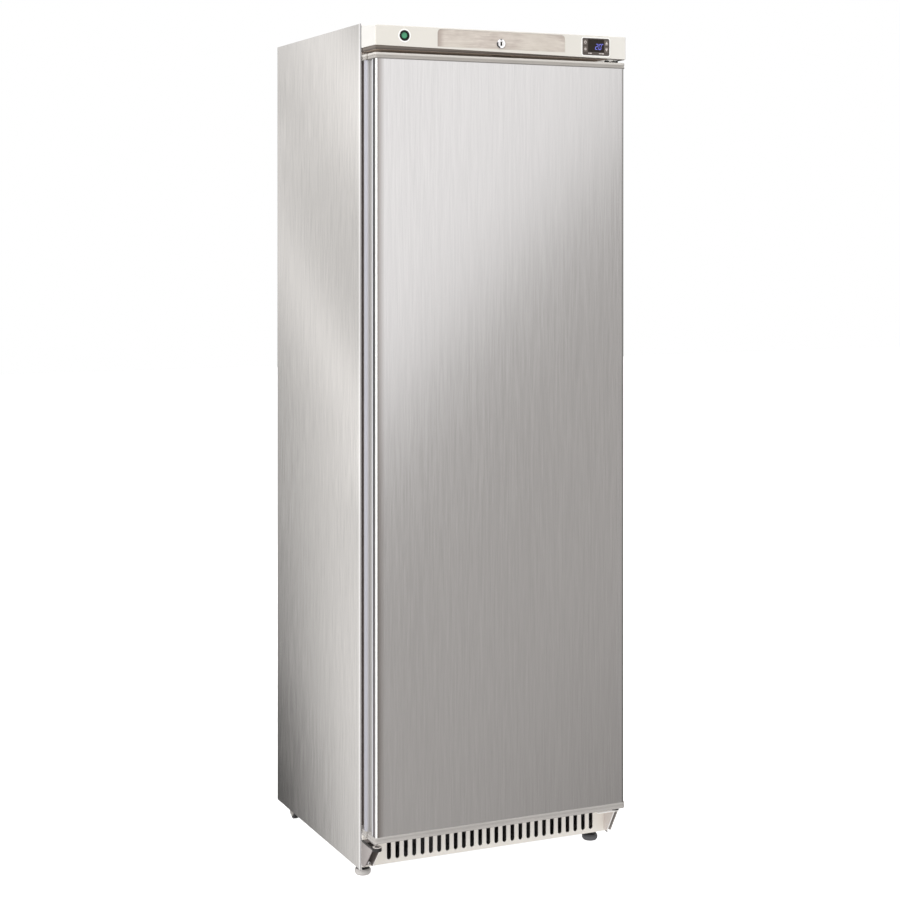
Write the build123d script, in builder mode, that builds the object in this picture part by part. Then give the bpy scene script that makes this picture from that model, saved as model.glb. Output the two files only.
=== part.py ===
from build123d import *
from math import cos, radians, sin
import os

# Upright single-door commercial refrigerator, millimetres.
# Frame: +X to the viewer's right, +Y to the rear, +Z up.
# Origin: on the floor, under the middle of the overall box.

# ---------------------------------------------------------------- driving dimensions
WIDTH = 600.0            # overall width over the side panels
DEPTH = 605.0            # overall depth, header front to rear screw heads
HEIGHT = 1810.0          # floor to top panel
HEADER_OUT = 80.0        # how far the header stands in front of the cabinet
HW = WIDTH / 2
FRONT = -DEPTH / 2 + HEADER_OUT   # Y of the cabinet's front plane
STEEL_DEPTH = 523.0      # front plane to the rear face of the side panels
PANEL_LOW = 24.0         # lower edge of the side panels
SHEET = 1.0              # cabinet sheet
FLANGE_F = 38.0          # side panel front flange
FLANGE_R = 14.0          # side panel rear flange

WALL = 50.0              # side insulation with its panel
CAV_LOW, CAV_TOP = 146.0, 1698.0      # foamed opening, low and high
CAV_REAR = 460.0
HUMP_FRONT, HUMP_TOP = 256.0, 320.0   # step of the cavity over the machine compartment
ROOM_FRONT, ROOM_TOP = 300.0, 280.0   # machine compartment
BASE_Z = 30.0            # underside of the base plate
FOAM_LOW = 100.0
LINER = 2.0

HEAD_LOW, HEAD_TOP_F, HEAD_TOP_R = 1750.5, 1800.0, 1806.5
HEAD_RAKE = 7.5          # the cover's lower edge rises this much towards the left
HEAD_FACE = 79.0         # header face in front of the cabinet's front plane
HEAD_WALL = 2.5
TRAY_LOW = 1749.3        # underside of the tray that closes the header

DOOR_LOW, DOOR_TOP = 101.5, 1743.0
CAP = 12.7               # thickness of the door's end caps
DOOR_HW = 296.0
DOOR_FACE, DOOR_BACK = 76.0, 12.0     # in front of the cabinet's front plane
PIN_X, PIN_D = 290.0, 47.0            # door pivot
PIN_R = 4.0
PIN_CLEAR = 0.06

SLOTS, SLOT_X0, SLOT_PITCH, SLOT_W = 26, -235.0, 19.57, 9.8
SLOT_LOW, SLOT_HIGH = 38.5, 88.0

LOCK_X, LOCK_Z = -7.7, 1772.0
SWITCH_X, SWITCH_Z = -232.7, 1779.6
CTRL = (190.0, 256.8, 1756.5, 1793.7)           # controller bezel x0, x1, z0, z1
WINDOW = (203.7, 243.7, 1763.5, 1791.6)         # display window
LABEL = (-156.8, 147.3, 1760.0, 1797.2)         # label recess

SHELF_Z = (480.0, 780.0, 1080.0, 1380.0)
FOOT_X, FOOT_D = 277.0, 43.0
ROLLER_X, ROLLER_D, ROLLER_R = 284.0, 445.0, 13.0


def fy(d):
    """Y of a plane d behind the cabinet's front plane (negative d is in front of it)."""
    return FRONT + d


def block(x0, x1, d0, d1, z0, z1, mode=Mode.ADD):
    """Box between two corners, depths counted from the cabinet's front plane."""
    with Locations(((x0 + x1) / 2, fy((d0 + d1) / 2), (z0 + z1) / 2)):
        Box(abs(x1 - x0), abs(d1 - d0), abs(z1 - z0), mode=mode)


def rod_y(x, z, d0, d1, r, mode=Mode.ADD):
    """Round bar along Y."""
    with Locations((x, fy((d0 + d1) / 2), z)):
        Cylinder(r, abs(d1 - d0), rotation=(90, 0, 0), mode=mode)


def rod_x(y, z, x0, x1, r, mode=Mode.ADD):
    """Round bar along X, y given as depth."""
    with Locations(((x0 + x1) / 2, fy(y), z)):
        Cylinder(r, abs(x1 - x0), rotation=(0, 90, 0), mode=mode)


def rod_z(x, d, z0, z1, r, mode=Mode.ADD):
    """Upright round bar."""
    with Locations((x, fy(d), (z0 + z1) / 2)):
        Cylinder(r, abs(z1 - z0), mode=mode)


def front_plane(d):
    """Sketch plane facing the viewer at depth d: local x is X, local y is Z."""
    return Plane(origin=(0, fy(d), 0), x_dir=(1, 0, 0), z_dir=(0, -1, 0))


def side_plane(x):
    """Sketch plane facing +X: local x is Y, local y is Z."""
    return Plane(origin=(x, 0, 0), x_dir=(0, 1, 0), z_dir=(1, 0, 0))


made = {}


def keep(name, part):
    part.label = name
    made[name] = part


# ================================================================ cabinet shell
with BuildPart() as side_panel_left:
    # one folded sheet: side, narrow front flange behind the door seal, rear flange
    with BuildSketch(Plane.XY.offset(PANEL_LOW)):
        with BuildLine():
            Polyline(
                (-HW, fy(0)), (-HW + FLANGE_F, fy(0)), (-HW + FLANGE_F, fy(SHEET)),
                (-HW + SHEET, fy(SHEET)), (-HW + SHEET, fy(STEEL_DEPTH - SHEET)),
                (-HW + FLANGE_R, fy(STEEL_DEPTH - SHEET)), (-HW + FLANGE_R, fy(STEEL_DEPTH)),
                (-HW, fy(STEEL_DEPTH)), close=True,
            )
        make_face()
    extrude(amount=HEIGHT - PANEL_LOW)
    # the front fold is rounder than the rear one
    uprights = side_panel_left.edges().filter_by(Axis.Z)
    outer_front, outer_rear = uprights.group_by(Axis.X)[0].sort_by(Axis.Y)
    inner_front = uprights.group_by(Axis.X)[1].sort_by(Axis.Y)[0]
    fillet(outer_front, radius=3.0)
    fillet(inner_front, radius=2.0)
    fillet(outer_rear, radius=0.8)
    # the front flange ends above the foot
    block(-HW + 3.2, -HW + FLANGE_F + 1, -1, SHEET + 1, PANEL_LOW - 1, 31, Mode.SUBTRACT)
keep("side_panel_left", side_panel_left.part)

with BuildPart() as side_panel_right:
    add(side_panel_left.part)
    mirror(about=Plane.YZ, mode=Mode.REPLACE)
keep("side_panel_right", side_panel_right.part)

with BuildPart() as top_panel:
    block(-HW + SHEET, HW - SHEET, SHEET, STEEL_DEPTH - SHEET, HEIGHT - SHEET, HEIGHT)
keep("top_panel", top_panel.part)

with BuildPart() as back_panel:
    block(-HW + SHEET, HW - SHEET, STEEL_DEPTH - 2, STEEL_DEPTH - 1, ROOM_TOP + 2, HEIGHT - SHEET)
keep("back_panel", back_panel.part)

with BuildPart() as front_rails:
    # upper rail behind the header, lower rail above the grille
    block(-HW + FLANGE_F, HW - FLANGE_F, 0, SHEET, CAV_TOP, HEIGHT)
    block(-HW + FLANGE_F, HW - FLANGE_F, 0, SHEET, FOAM_LOW, CAV_LOW)
keep("front_rails", front_rails.part)

with BuildPart() as inner_liner:
    # white moulded lining with its front flange and the step over the machine compartment
    block(-HW + 3.2, HW - 3.2, SHEET, SHEET + LINER, FOAM_LOW, HEIGHT - SHEET)
    with BuildSketch(side_plane(-HW + WALL)):
        with BuildLine():
            Polyline(
                (fy(2), CAV_LOW), (fy(HUMP_FRONT), CAV_LOW), (fy(HUMP_FRONT), HUMP_TOP),
                (fy(CAV_REAR), HUMP_TOP), (fy(CAV_REAR), CAV_TOP), (fy(2), CAV_TOP), close=True,
            )
        make_face()
    extrude(amount=2 * (HW - WALL))
    with BuildSketch(side_plane(-HW + WALL + LINER)):
        with BuildLine():
            Polyline(
                (fy(0), CAV_LOW + LINER), (fy(HUMP_FRONT - LINER), CAV_LOW + LINER),
                (fy(HUMP_FRONT - LINER), HUMP_TOP + LINER), (fy(CAV_REAR - LINER), HUMP_TOP + LINER),
                (fy(CAV_REAR - LINER), CAV_TOP - LINER), (fy(0), CAV_TOP - LINER), close=True,
            )
        make_face()
    extrude(amount=2 * (HW - WALL - LINER), mode=Mode.SUBTRACT)
    # moulded radius where the side walls meet floor, step, rear and ceiling
    cav_x = HW - WALL - LINER
    wall_edges = inner_liner.edges().filter_by(
        lambda e: abs(abs(e.center().X) - cav_x) < 0.01 and e.length > 20
        and abs(abs((e @ 0).X) - cav_x) < 0.01 and e.center().Y > fy(6)
    )
    fillet(wall_edges, radius=12)
    rod_z(150, 440, HUMP_TOP - 5, HUMP_TOP + 5, 7.2, Mode.SUBTRACT)   # drain
keep("inner_liner", inner_liner.part)

with BuildPart() as compartment_sheet:
    # folded sheet under the foam: floor front, wall and ceiling of the machine compartment
    with BuildSketch(side_plane(-HW + SHEET)):
        with BuildLine():
            Polyline(
                (fy(4), FOAM_LOW - 1), (fy(ROOM_FRONT + 1), FOAM_LOW - 1), (fy(ROOM_FRONT + 1), ROOM_TOP - 1),
                (fy(STEEL_DEPTH - 2), ROOM_TOP - 1), (fy(STEEL_DEPTH - 2), ROOM_TOP), (fy(ROOM_FRONT), ROOM_TOP),
                (fy(ROOM_FRONT), FOAM_LOW), (fy(4), FOAM_LOW), close=True,
            )
        make_face()
    extrude(amount=2 * (HW - SHEET))
    rod_z(150, 440, ROOM_TOP - 5, ROOM_TOP + 5, 7.2, Mode.SUBTRACT)
keep("compartment_sheet", compartment_sheet.part)

FOAM_F = SHEET + LINER
FOAM_B = STEEL_DEPTH - 2
# slabs of foam between shell and lining: two sides in two heights, roof, rear, step, floor
foam_boxes = [
    (FOAM_F, FOAM_B, CAV_TOP, HEIGHT - SHEET),
    (CAV_REAR, FOAM_B, HUMP_TOP, CAV_TOP),
    (ROOM_FRONT, FOAM_B, ROOM_TOP, HUMP_TOP),
    (HUMP_FRONT, ROOM_FRONT, FOAM_LOW, HUMP_TOP),
    (FOAM_F, HUMP_FRONT, FOAM_LOW, CAV_LOW),
]
slabs = []
for x0, x1 in ((-HW + SHEET, -HW + WALL), (HW - WALL, HW - SHEET)):
    with BuildPart() as slab:
        block(x0, x1, FOAM_F, FOAM_B, ROOM_TOP, HEIGHT - SHEET)
    slabs.append(slab.part.solid())
    with BuildPart() as slab:
        block(x0, x1, FOAM_F, ROOM_FRONT, FOAM_LOW, ROOM_TOP)
    slabs.append(slab.part.solid())
for d0, d1, z0, z1 in foam_boxes:
    with BuildPart() as slab:
        block(-HW + WALL, HW - WALL, d0, d1, z0, z1)
        if z0 == ROOM_TOP:
            rod_z(150, 440, ROOM_TOP - 5, HUMP_TOP + 5, 7.2, Mode.SUBTRACT)
    slabs.append(slab.part.solid())
keep("wall_insulation", Compound(children=slabs))

# ================================================================ base
with BuildPart() as base_plate:
    block(-HW + 2, HW - 2, 4, STEEL_DEPTH - 2, BASE_Z, BASE_Z + 1.5)
    for side in (-1, 1):
        block(side * (HW - 2), side * (HW - 3.5), 4, STEEL_DEPTH - 2, BASE_Z, BASE_Z + 30)
        # welded nut for the levelling foot
        with BuildSketch(Plane.XY.offset(BASE_Z + 1.5)):
            with Locations((side * FOOT_X, fy(FOOT_D))):
                RegularPolygon(10, 6)
        extrude(amount=12)
        rod_z(side * FOOT_X, FOOT_D, BASE_Z - 5, BASE_Z + 25, 5.05, Mode.SUBTRACT)
keep("base_plate", base_plate.part)

with BuildPart() as kick_grille:
    block(-HW + 4.2, HW - 4.2, -1.5, 0, BASE_Z, FOAM_LOW - 2)
    with BuildSketch(front_plane(1)):
        with Locations((SLOT_X0 + SLOT_PITCH * (SLOTS - 1) / 2, (SLOT_LOW + SLOT_HIGH) / 2)):
            with GridLocations(SLOT_PITCH, 1, SLOTS, 1):
                SlotOverall(SLOT_HIGH - SLOT_LOW, SLOT_W, rotation=90)
    extrude(amount=4, mode=Mode.SUBTRACT)
keep("kick_grille", kick_grille.part)

with BuildPart() as roller_brackets:
    # zinc forks under the rear corners with their riveted axles
    for side in (-1, 1):
        x0, x1 = side * (ROLLER_X - 8.4), side * (ROLLER_X + 8.4)
        block(x0, x1, ROLLER_D - 22, ROLLER_D + 22, BASE_Z - 1.5, BASE_Z)
        for xc in (x0 + side * 0.75, x1 - side * 0.75):
            with BuildSketch(side_plane(xc - 0.75)):
                with BuildLine():
                    Polyline(
                        (fy(ROLLER_D - 22), BASE_Z), (fy(ROLLER_D - 7), ROLLER_R - 5),
                        (fy(ROLLER_D + 7), ROLLER_R - 5), (fy(ROLLER_D + 22), BASE_Z), close=True,
                    )
                make_face()
            extrude(amount=1.5)
        rod_x(ROLLER_D, ROLLER_R, x0 - side * 0.8, x1 + side * 0.8, 3.0)
keep("roller_brackets", roller_brackets.part)


def make_roller(side):
    with BuildPart() as roller:
        rod_x(ROLLER_D, ROLLER_R, side * ROLLER_X - 6, side * ROLLER_X + 6, ROLLER_R)
        fillet(roller.edges().filter_by(GeomType.CIRCLE), radius=1.5)
        rod_x(ROLLER_D, ROLLER_R, side * ROLLER_X - 7, side * ROLLER_X + 7, 3.0 + PIN_CLEAR, Mode.SUBTRACT)
    return roller.part


keep("rear_roller_left", make_roller(-1))
keep("rear_roller_right", make_roller(1))


def make_foot(side):
    with BuildPart() as foot:
        with BuildSketch(Plane(origin=(side * FOOT_X, fy(FOOT_D), 0), x_dir=(1, 0, 0), z_dir=(0, -1, 0))):
            with BuildLine():
                Polyline((0, 0), (14.5, 0), (17.5, 4), (17.5, 10), (13.5, 15), (5, 15), (5, 56), (4, 57), (0, 57), close=True)
            make_face()
        revolve(axis=Axis((side * FOOT_X, fy(FOOT_D), 0), (0, 0, 1)))
        pad = foot.edges().filter_by(GeomType.CIRCLE).filter_by(lambda e: e.radius > 17)
        fillet(pad, radius=2.2)
    return foot.part


keep("levelling_foot_left", make_foot(-1))
keep("levelling_foot_right", make_foot(1))

# ================================================================ hinge brackets
BR_IN, BR_OUT = 276.5, 297.0      # spare bracket's side plates
USE_IN, USE_OUT = 287.6, 298.8    # side plates of the bracket in use
SPARE_Z, PLATE_Z = 88.0, 90.5     # upper edges
BR_SCREWS = (40.0, 70.0)
BR_SCREW_LEFT, BR_SCREW_RIGHT = -283.5, 293.7


def side_plates(x_list, thick, tip, foot, top):
    """Gusset plates of a bracket, slanting back to its foot."""
    for x0 in x_list:
        with BuildSketch(side_plane(x0)) as gusset:
            with BuildLine():
                Polyline(
                    (fy(-1.7), top), (fy(-tip), top), (fy(-tip), top - 2),
                    (fy(-tip + 5), top - 6), (fy(-foot), 34), (fy(-1.7), 34), close=True,
                )
            make_face()
        extrude(gusset.sketch, amount=thick)


with BuildPart() as lower_hinge_bracket:
    # narrow channel under a top plate that reaches towards the middle of the cabinet
    block(USE_IN, USE_OUT, -3.7, -1.7, 34, PLATE_Z)
    side_plates((USE_IN,), 3.0, 50, 14, PLATE_Z)
    side_plates((USE_OUT - 2.0,), 2.0, 50, 14, PLATE_Z)
    block(243.5, USE_OUT, -54, -1.7, PLATE_Z - 2, PLATE_Z)
    front_corners = lower_hinge_bracket.edges().filter_by(Axis.Z).filter_by(lambda e: e.length < 2.5).group_by(Axis.Y)[0]
    fillet(front_corners, radius=3)
    # pivot pin with its thrust shoulder
    rod_z(PIN_X, -PIN_D, PLATE_Z - 3, 111.5, PIN_R)
    rod_z(PIN_X, -PIN_D, PLATE_Z, 99.0, 6.0)
    for z in BR_SCREWS:
        rod_y(BR_SCREW_RIGHT, z, -5, 0, 2.1, Mode.SUBTRACT)
keep("lower_hinge_bracket", lower_hinge_bracket.part)

with BuildPart() as spare_hinge_bracket:
    # open channel with the eye that would hold the pin, and a small foot tab
    block(-BR_OUT, -BR_IN, -3.7, -1.7, 34, SPARE_Z)
    side_plates((-BR_OUT, -BR_IN - 2), 2, 61, 14, SPARE_Z)
    block(-BR_IN - 0.5, -BR_IN + 8, -9, -1.7, 32.5, 35.5)
    eye_x = -286.5
    rod_z(eye_x, -PIN_D - 13, SPARE_Z - 6, SPARE_Z + 2.5, 9.6)
    rod_z(eye_x, -PIN_D - 13, SPARE_Z - 10, SPARE_Z + 5, 5.4, Mode.SUBTRACT)
    eye_rim = spare_hinge_bracket.edges().filter_by(GeomType.CIRCLE).filter_by(lambda e: e.radius > 9).group_by(Axis.Z)[-1]
    fillet(eye_rim, radius=1.0)
    for z in BR_SCREWS:
        rod_y(BR_SCREW_LEFT, z, -5, 0, 2.1, Mode.SUBTRACT)
keep("spare_hinge_bracket", spare_hinge_bracket.part)

with BuildPart() as top_hinge_bracket:
    block(258, 294.5, -60, -0.2, 1751.2, 1754.2)
    block(258, 294.5, -3.2, -0.2, 1751.2, 1794)
    rod_z(PIN_X, -PIN_D, 1732.5, 1752, PIN_R)
    rod_z(PIN_X, -PIN_D, 1745.6, 1751.5, 4.9)
    rod_z(268, -49, 1744.6, 1751.5, 4)   # door stop stud
keep("top_hinge_bracket", top_hinge_bracket.part)

# ================================================================ header
with BuildPart() as header_cover:
    with BuildSketch(side_plane(-HW + 0.5)):
        with BuildLine():
            Polyline(
                (fy(-HEAD_FACE), HEAD_LOW), (fy(-HEAD_FACE), HEAD_TOP_F), (fy(-1.5), HEAD_TOP_R),
                (fy(-1.5), HEAD_LOW), close=True,
            )
        make_face()
    extrude(amount=2 * (HW - 0.5))
    front_verticals = header_cover.edges().filter_by(Axis.Z).group_by(Axis.Y)[0]
    fillet(front_verticals, radius=3)
    crown = header_cover.edges().group_by(Axis.Y)[0].group_by(Axis.Z)[-1]
    fillet(crown, radius=2.5)
    with BuildSketch(side_plane(-HW + 0.5 + HEAD_WALL)):
        with BuildLine():
            Polyline(
                (fy(-HEAD_FACE + HEAD_WALL), HEAD_LOW - 5), (fy(-HEAD_FACE + HEAD_WALL), HEAD_TOP_F - HEAD_WALL),
                (fy(1), HEAD_TOP_R - HEAD_WALL), (fy(1), HEAD_LOW - 5), close=True,
            )
        make_face()
    extrude(amount=2 * (HW - 0.5 - HEAD_WALL), mode=Mode.SUBTRACT)
    # raked lower edge
    with BuildSketch(front_plane(-HEAD_FACE - 3)):
        with BuildLine():
            Polyline(
                (-HW - 2, HEAD_LOW - 3), (-HW - 2, HEAD_LOW + HEAD_RAKE), (-HW + 3, HEAD_LOW + HEAD_RAKE),
                (HW - 4, HEAD_LOW), (HW + 2, HEAD_LOW), (HW + 2, HEAD_LOW - 3), close=True,
            )
        make_face()
    extrude(amount=-(HEAD_FACE + 8), mode=Mode.SUBTRACT)
    # label recess with rounded upper corners
    with BuildSketch(front_plane(-HEAD_FACE - 1)):
        with Locations(((LABEL[0] + LABEL[1]) / 2, (LABEL[2] + LABEL[3]) / 2)):
            recess = Rectangle(LABEL[1] - LABEL[0], LABEL[3] - LABEL[2])
        fillet(recess.vertices().group_by(Axis.Y)[-1], radius=9)
    extrude(amount=-2.4, mode=Mode.SUBTRACT)
    # openings for lock, switch and controller
    rod_y(LOCK_X, LOCK_Z, -HEAD_FACE - 2, -HEAD_FACE + 5, 8.7, Mode.SUBTRACT)
    rod_y(SWITCH_X, SWITCH_Z, -HEAD_FACE - 2, -HEAD_FACE + 5, 10.2, Mode.SUBTRACT)
    block(CTRL[0] + 1.8, CTRL[1] - 1.8, -HEAD_FACE - 2, -HEAD_FACE + 5, CTRL[2] + 1.8, CTRL[3] - 1.8, Mode.SUBTRACT)
keep("header_cover", header_cover.part)

with BuildPart() as header_base:
    # dark tray that closes the header from below, set inside its skirt; open at the hinge
    tray_front = -HEAD_FACE + HEAD_WALL + 0.2
    block(-HW + 3.2, 255, tray_front, -3.6, TRAY_LOW, TRAY_LOW + 1.5)
    block(-HW + 3.2, HW - 3.2, tray_front, tray_front + 1.5, TRAY_LOW, TRAY_LOW + 12)
    for x0 in (-HW + 3.2, HW - 4.7):
        block(x0, x0 + 1.5, tray_front, -3.6, TRAY_LOW, TRAY_LOW + 12)
    block(LOCK_X - 9, LOCK_X + 38, -56, -45, TRAY_LOW - 1, TRAY_LOW + 4, Mode.SUBTRACT)
    block(CTRL[0], CTRL[1], -79, -74, CTRL[2] + 1, TRAY_LOW + 13, Mode.SUBTRACT)
keep("header_base", header_base.part)

with BuildPart() as label_plate:
    with BuildSketch(front_plane(-HEAD_FACE + 1.4)):
        with Locations(((LABEL[0] + LABEL[1]) / 2, (LABEL[2] + LABEL[3]) / 2)):
            plate = Rectangle(LABEL[1] - LABEL[0] - 0.6, LABEL[3] - LABEL[2] - 0.6)
        fillet(plate.vertices().group_by(Axis.Y)[-1], radius=8.7)
    extrude(amount=0.8)
    rod_y(LOCK_X, LOCK_Z, -HEAD_FACE - 2, -HEAD_FACE + 5, 8.7, Mode.SUBTRACT)
keep("label_plate", label_plate.part)

with BuildPart() as lock_body:
    rod_y(LOCK_X, LOCK_Z, -80.4, -78.5, 10.3)
    rod_y(LOCK_X, LOCK_Z, -78.5, -54, 8.5)
    bezel_rim = lock_body.edges().filter_by(GeomType.CIRCLE).group_by(Axis.Y)[0]
    fillet(bezel_rim, radius=1.1)
    rod_y(LOCK_X, LOCK_Z, -81, -50, 6.06, Mode.SUBTRACT)
keep("lock_body", lock_body.part)

with BuildPart() as lock_plug:
    # turning barrel with its key slot and the cam that drops into the door
    rod_y(LOCK_X, LOCK_Z, -79.7, -50, 6.0)
    block(LOCK_X - 1.1, LOCK_X + 1.1, -81, -70, LOCK_Z - 3.6, LOCK_Z + 3.6, Mode.SUBTRACT)
    with BuildSketch(front_plane(-49.0)):
        with Locations((LOCK_X, LOCK_Z)):
            Circle(6.5)
        with Locations((LOCK_X + 17, LOCK_Z)):
            Rectangle(34, 10)
        with Locations((LOCK_X + 33, LOCK_Z)):
            Circle(5 - 1)
    extrude(amount=3)
keep("lock_plug", lock_plug.part)

with BuildPart() as switch_body:
    with BuildSketch(front_plane(-HEAD_FACE)):
        with Locations((SWITCH_X, SWITCH_Z)):
            Circle(11.3)
    extrude(amount=1.0)
    rod_y(SWITCH_X, SWITCH_Z, -HEAD_FACE, -54, 10.0)
    rod_y(SWITCH_X, SWITCH_Z, -81, -66, 7.6, Mode.SUBTRACT)
    for dx in (-4, 4):
        block(SWITCH_X + dx - 0.4, SWITCH_X + dx + 0.4, -54, -46, SWITCH_Z - 3, SWITCH_Z + 3)
    switch_rim = switch_body.edges().filter_by(GeomType.CIRCLE).filter_by(lambda e: e.radius > 11).group_by(Axis.Y)[0]
    fillet(switch_rim, radius=0.7)
keep("switch_body", switch_body.part)

ROCK_D = 73.0
ROCK_TILT = 6.0
with BuildPart() as switch_rocker:
    # round rocker, stored pressed at its upper edge (on)
    tilted = Plane(
        origin=(SWITCH_X, fy(-ROCK_D), SWITCH_Z),
        x_dir=(1, 0, 0),
        z_dir=(0, -cos(radians(ROCK_TILT)), sin(radians(ROCK_TILT))),
    )
    with BuildSketch(tilted.offset(-3)):
        Circle(6.9)
    extrude(amount=9.0)
    lens_rim = switch_rocker.edges().filter_by(GeomType.CIRCLE).group_by(Axis.Y)[0]
    fillet(lens_rim, radius=1.2)
keep("switch_rocker", switch_rocker.part)

BTN_W, BTN_H = 9.2, 12.0
BTN_X = (CTRL[0] + 6.9, CTRL[1] - 6.9)
BTN_Z = (1784.0, 1769.5)
with BuildPart() as controller_body:
    with BuildSketch(front_plane(-HEAD_FACE)):
        with Locations(((CTRL[0] + CTRL[1]) / 2, (CTRL[2] + CTRL[3]) / 2)):
            RectangleRounded(CTRL[1] - CTRL[0], CTRL[3] - CTRL[2], 3.5)
    extrude(amount=0.8)
    block(CTRL[0] + 2.2, CTRL[1] - 2.2, -HEAD_FACE, -26, CTRL[2] + 2.2, CTRL[3] - 2.2)
    block(WINDOW[0], WINDOW[1], -81, -78.2, WINDOW[2], WINDOW[3], Mode.SUBTRACT)
    for bx in BTN_X:
        for bz in BTN_Z:
            block(bx - BTN_W / 2 - 0.25, bx + BTN_W / 2 + 0.25, -81, -76.2, bz - BTN_H / 2 - 0.25, bz + BTN_H / 2 + 0.25, Mode.SUBTRACT)
keep("controller_body", controller_body.part)

with BuildPart() as display_window:
    block(WINDOW[0] + 0.1, WINDOW[1] - 0.1, -79.6, -78.2, WINDOW[2] + 0.1, WINDOW[3] - 0.1)
keep("display_window", display_window.part)


def make_button(bx, bz):
    with BuildPart() as button:
        block(bx - BTN_W / 2, bx + BTN_W / 2, -80, -77.4, bz - BTN_H / 2, bz + BTN_H / 2)
        fillet(button.edges().filter_by(Axis.Y), radius=1.2)
        fillet(button.edges().group_by(Axis.Y)[0], radius=0.4)
    return button.part


keep("button_set", make_button(BTN_X[0], BTN_Z[0]))
keep("button_mode", make_button(BTN_X[0], BTN_Z[1]))
keep("button_up", make_button(BTN_X[1], BTN_Z[0]))
keep("button_down", make_button(BTN_X[1], BTN_Z[1]))

# ================================================================ door
GRIP_IN = -270.0
SKIN = 0.8
SKIN_X0 = -292.8
with BuildPart() as door_grip_profile:
    # full-length extruded edge: rear bulb, finger groove, front lobe and bright nose
    with BuildSketch(Plane.XY.offset(DOOR_LOW + CAP)):
        with BuildLine():
            l1 = Line((GRIP_IN, fy(-DOOR_BACK)), (-292.5, fy(-DOOR_BACK)))
            l2 = ThreePointArc((-292.5, fy(-DOOR_BACK)), (-297.3, fy(-14.1)), (-299.3, fy(-19)))
            l3 = Line((-299.3, fy(-19)), (-299.3, fy(-25)))
            l4 = ThreePointArc((-299.3, fy(-25)), (-296.9, fy(-29.6)), (-291, fy(-31)))
            l5 = ThreePointArc((-291, fy(-31)), (-281.8, fy(-41)), (-291, fy(-51)))
            l6 = ThreePointArc((-291, fy(-51)), (-295.2, fy(-52.8)), (-297, fy(-57)))
            l7 = Line((-297, fy(-57)), (-297, fy(-62.6)))
            l8 = Line((-297, fy(-62.6)), (-296, fy(-63.6)))
            l9 = Line((-296, fy(-63.6)), (-296, fy(-68.4)))
            l10 = Line((-296, fy(-68.4)), (-297, fy(-69.4)))
            l11 = Line((-297, fy(-69.4)), (-297, fy(-74)))
            l12 = ThreePointArc((-297, fy(-74)), (-295.9, fy(-76.8)), (-293.6, fy(-78)))
            l13 = Line((-293.6, fy(-78)), (-293.6, fy(-DOOR_FACE + SKIN)))
            l14 = Line((-293.6, fy(-DOOR_FACE + SKIN)), (GRIP_IN, fy(-DOOR_FACE + SKIN)))
            l15 = Line((GRIP_IN, fy(-DOOR_FACE + SKIN)), (GRIP_IN, fy(-DOOR_BACK)))
        make_face()
        # hollow chambers of the extrusion
        for x0, x1, d0, d1 in ((-291.5, -272, -27.5, -15), (-279, -272, -52, -30), (-291.5, -272, -73, -55)):
            with Locations(((x0 + x1) / 2, fy((d0 + d1) / 2))):
                RectangleRounded(x1 - x0, d1 - d0, 1.2, mode=Mode.SUBTRACT)
    extrude(amount=DOOR_TOP - DOOR_LOW - 2 * CAP)
keep("door_grip_profile", door_grip_profile.part)

with BuildPart() as door_skin:
    # brushed sheet: face with a folded right edge
    with BuildSketch(Plane.XY.offset(DOOR_LOW + CAP)):
        with BuildLine():
            ro, ri = 3.2, 3.2 - SKIN
            xc, yc = DOOR_HW - ro, fy(-DOOR_FACE + ro)
            q = cos(radians(45))
            Polyline((xc, fy(-DOOR_FACE + SKIN)), (SKIN_X0, fy(-DOOR_FACE + SKIN)), (SKIN_X0, fy(-DOOR_FACE)), (xc, fy(-DOOR_FACE)))
            ThreePointArc((xc, fy(-DOOR_FACE)), (xc + ro * q, yc - ro * q), (DOOR_HW, yc))
            Polyline((DOOR_HW, yc), (DOOR_HW, fy(-14.2)), (DOOR_HW - SKIN, fy(-14.2)), (DOOR_HW - SKIN, yc))
            ThreePointArc((DOOR_HW - SKIN, yc), (xc + ri * q, yc - ri * q), (xc, fy(-DOOR_FACE + SKIN)))
        make_face()
    extrude(amount=DOOR_TOP - DOOR_LOW - 2 * CAP)
keep("door_skin", door_skin.part)

with BuildPart() as door_core:
    with BuildSketch(Plane.XY.offset(DOOR_LOW + CAP)):
        with BuildLine():
            Polyline(
                (GRIP_IN, fy(-DOOR_FACE + SKIN)), (DOOR_HW - SKIN, fy(-DOOR_FACE + SKIN)),
                (DOOR_HW - SKIN, fy(-14.2)), (GRIP_IN, fy(-14.2)), close=True,
            )
        core_face = make_face()
        front_right = core_face.vertices().sort_by(Axis.Y)[:2].sort_by(Axis.X)[-1]
        fillet(front_right, radius=2.4)
    extrude(amount=DOOR_TOP - DOOR_LOW - 2 * CAP)
with BuildPart() as door_core_raised:
    block(-235.8, 235.8, -14.0, 2.8, 162.2, 1681.8)
keep("door_insulation", Compound(children=[door_core.part.solid(), door_core_raised.part.solid()]))

with BuildPart() as door_inner_panel:
    # white moulded inner face, raised in the middle
    block(GRIP_IN + 0.2, DOOR_HW - 1.2, -14.2, -12, DOOR_LOW + CAP, DOOR_TOP - CAP)
    block(-238, 238, -12, 5, 160, 1684)
    raised = door_inner_panel.edges().filter_by(Axis.Y).filter_by(lambda e: e.length > 10)
    fillet(raised, radius=14)
    block(-235.8, 235.8, -15, 2.8, 162.2, 1681.8, Mode.SUBTRACT)
keep("door_inner_panel", door_inner_panel.part)

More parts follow.
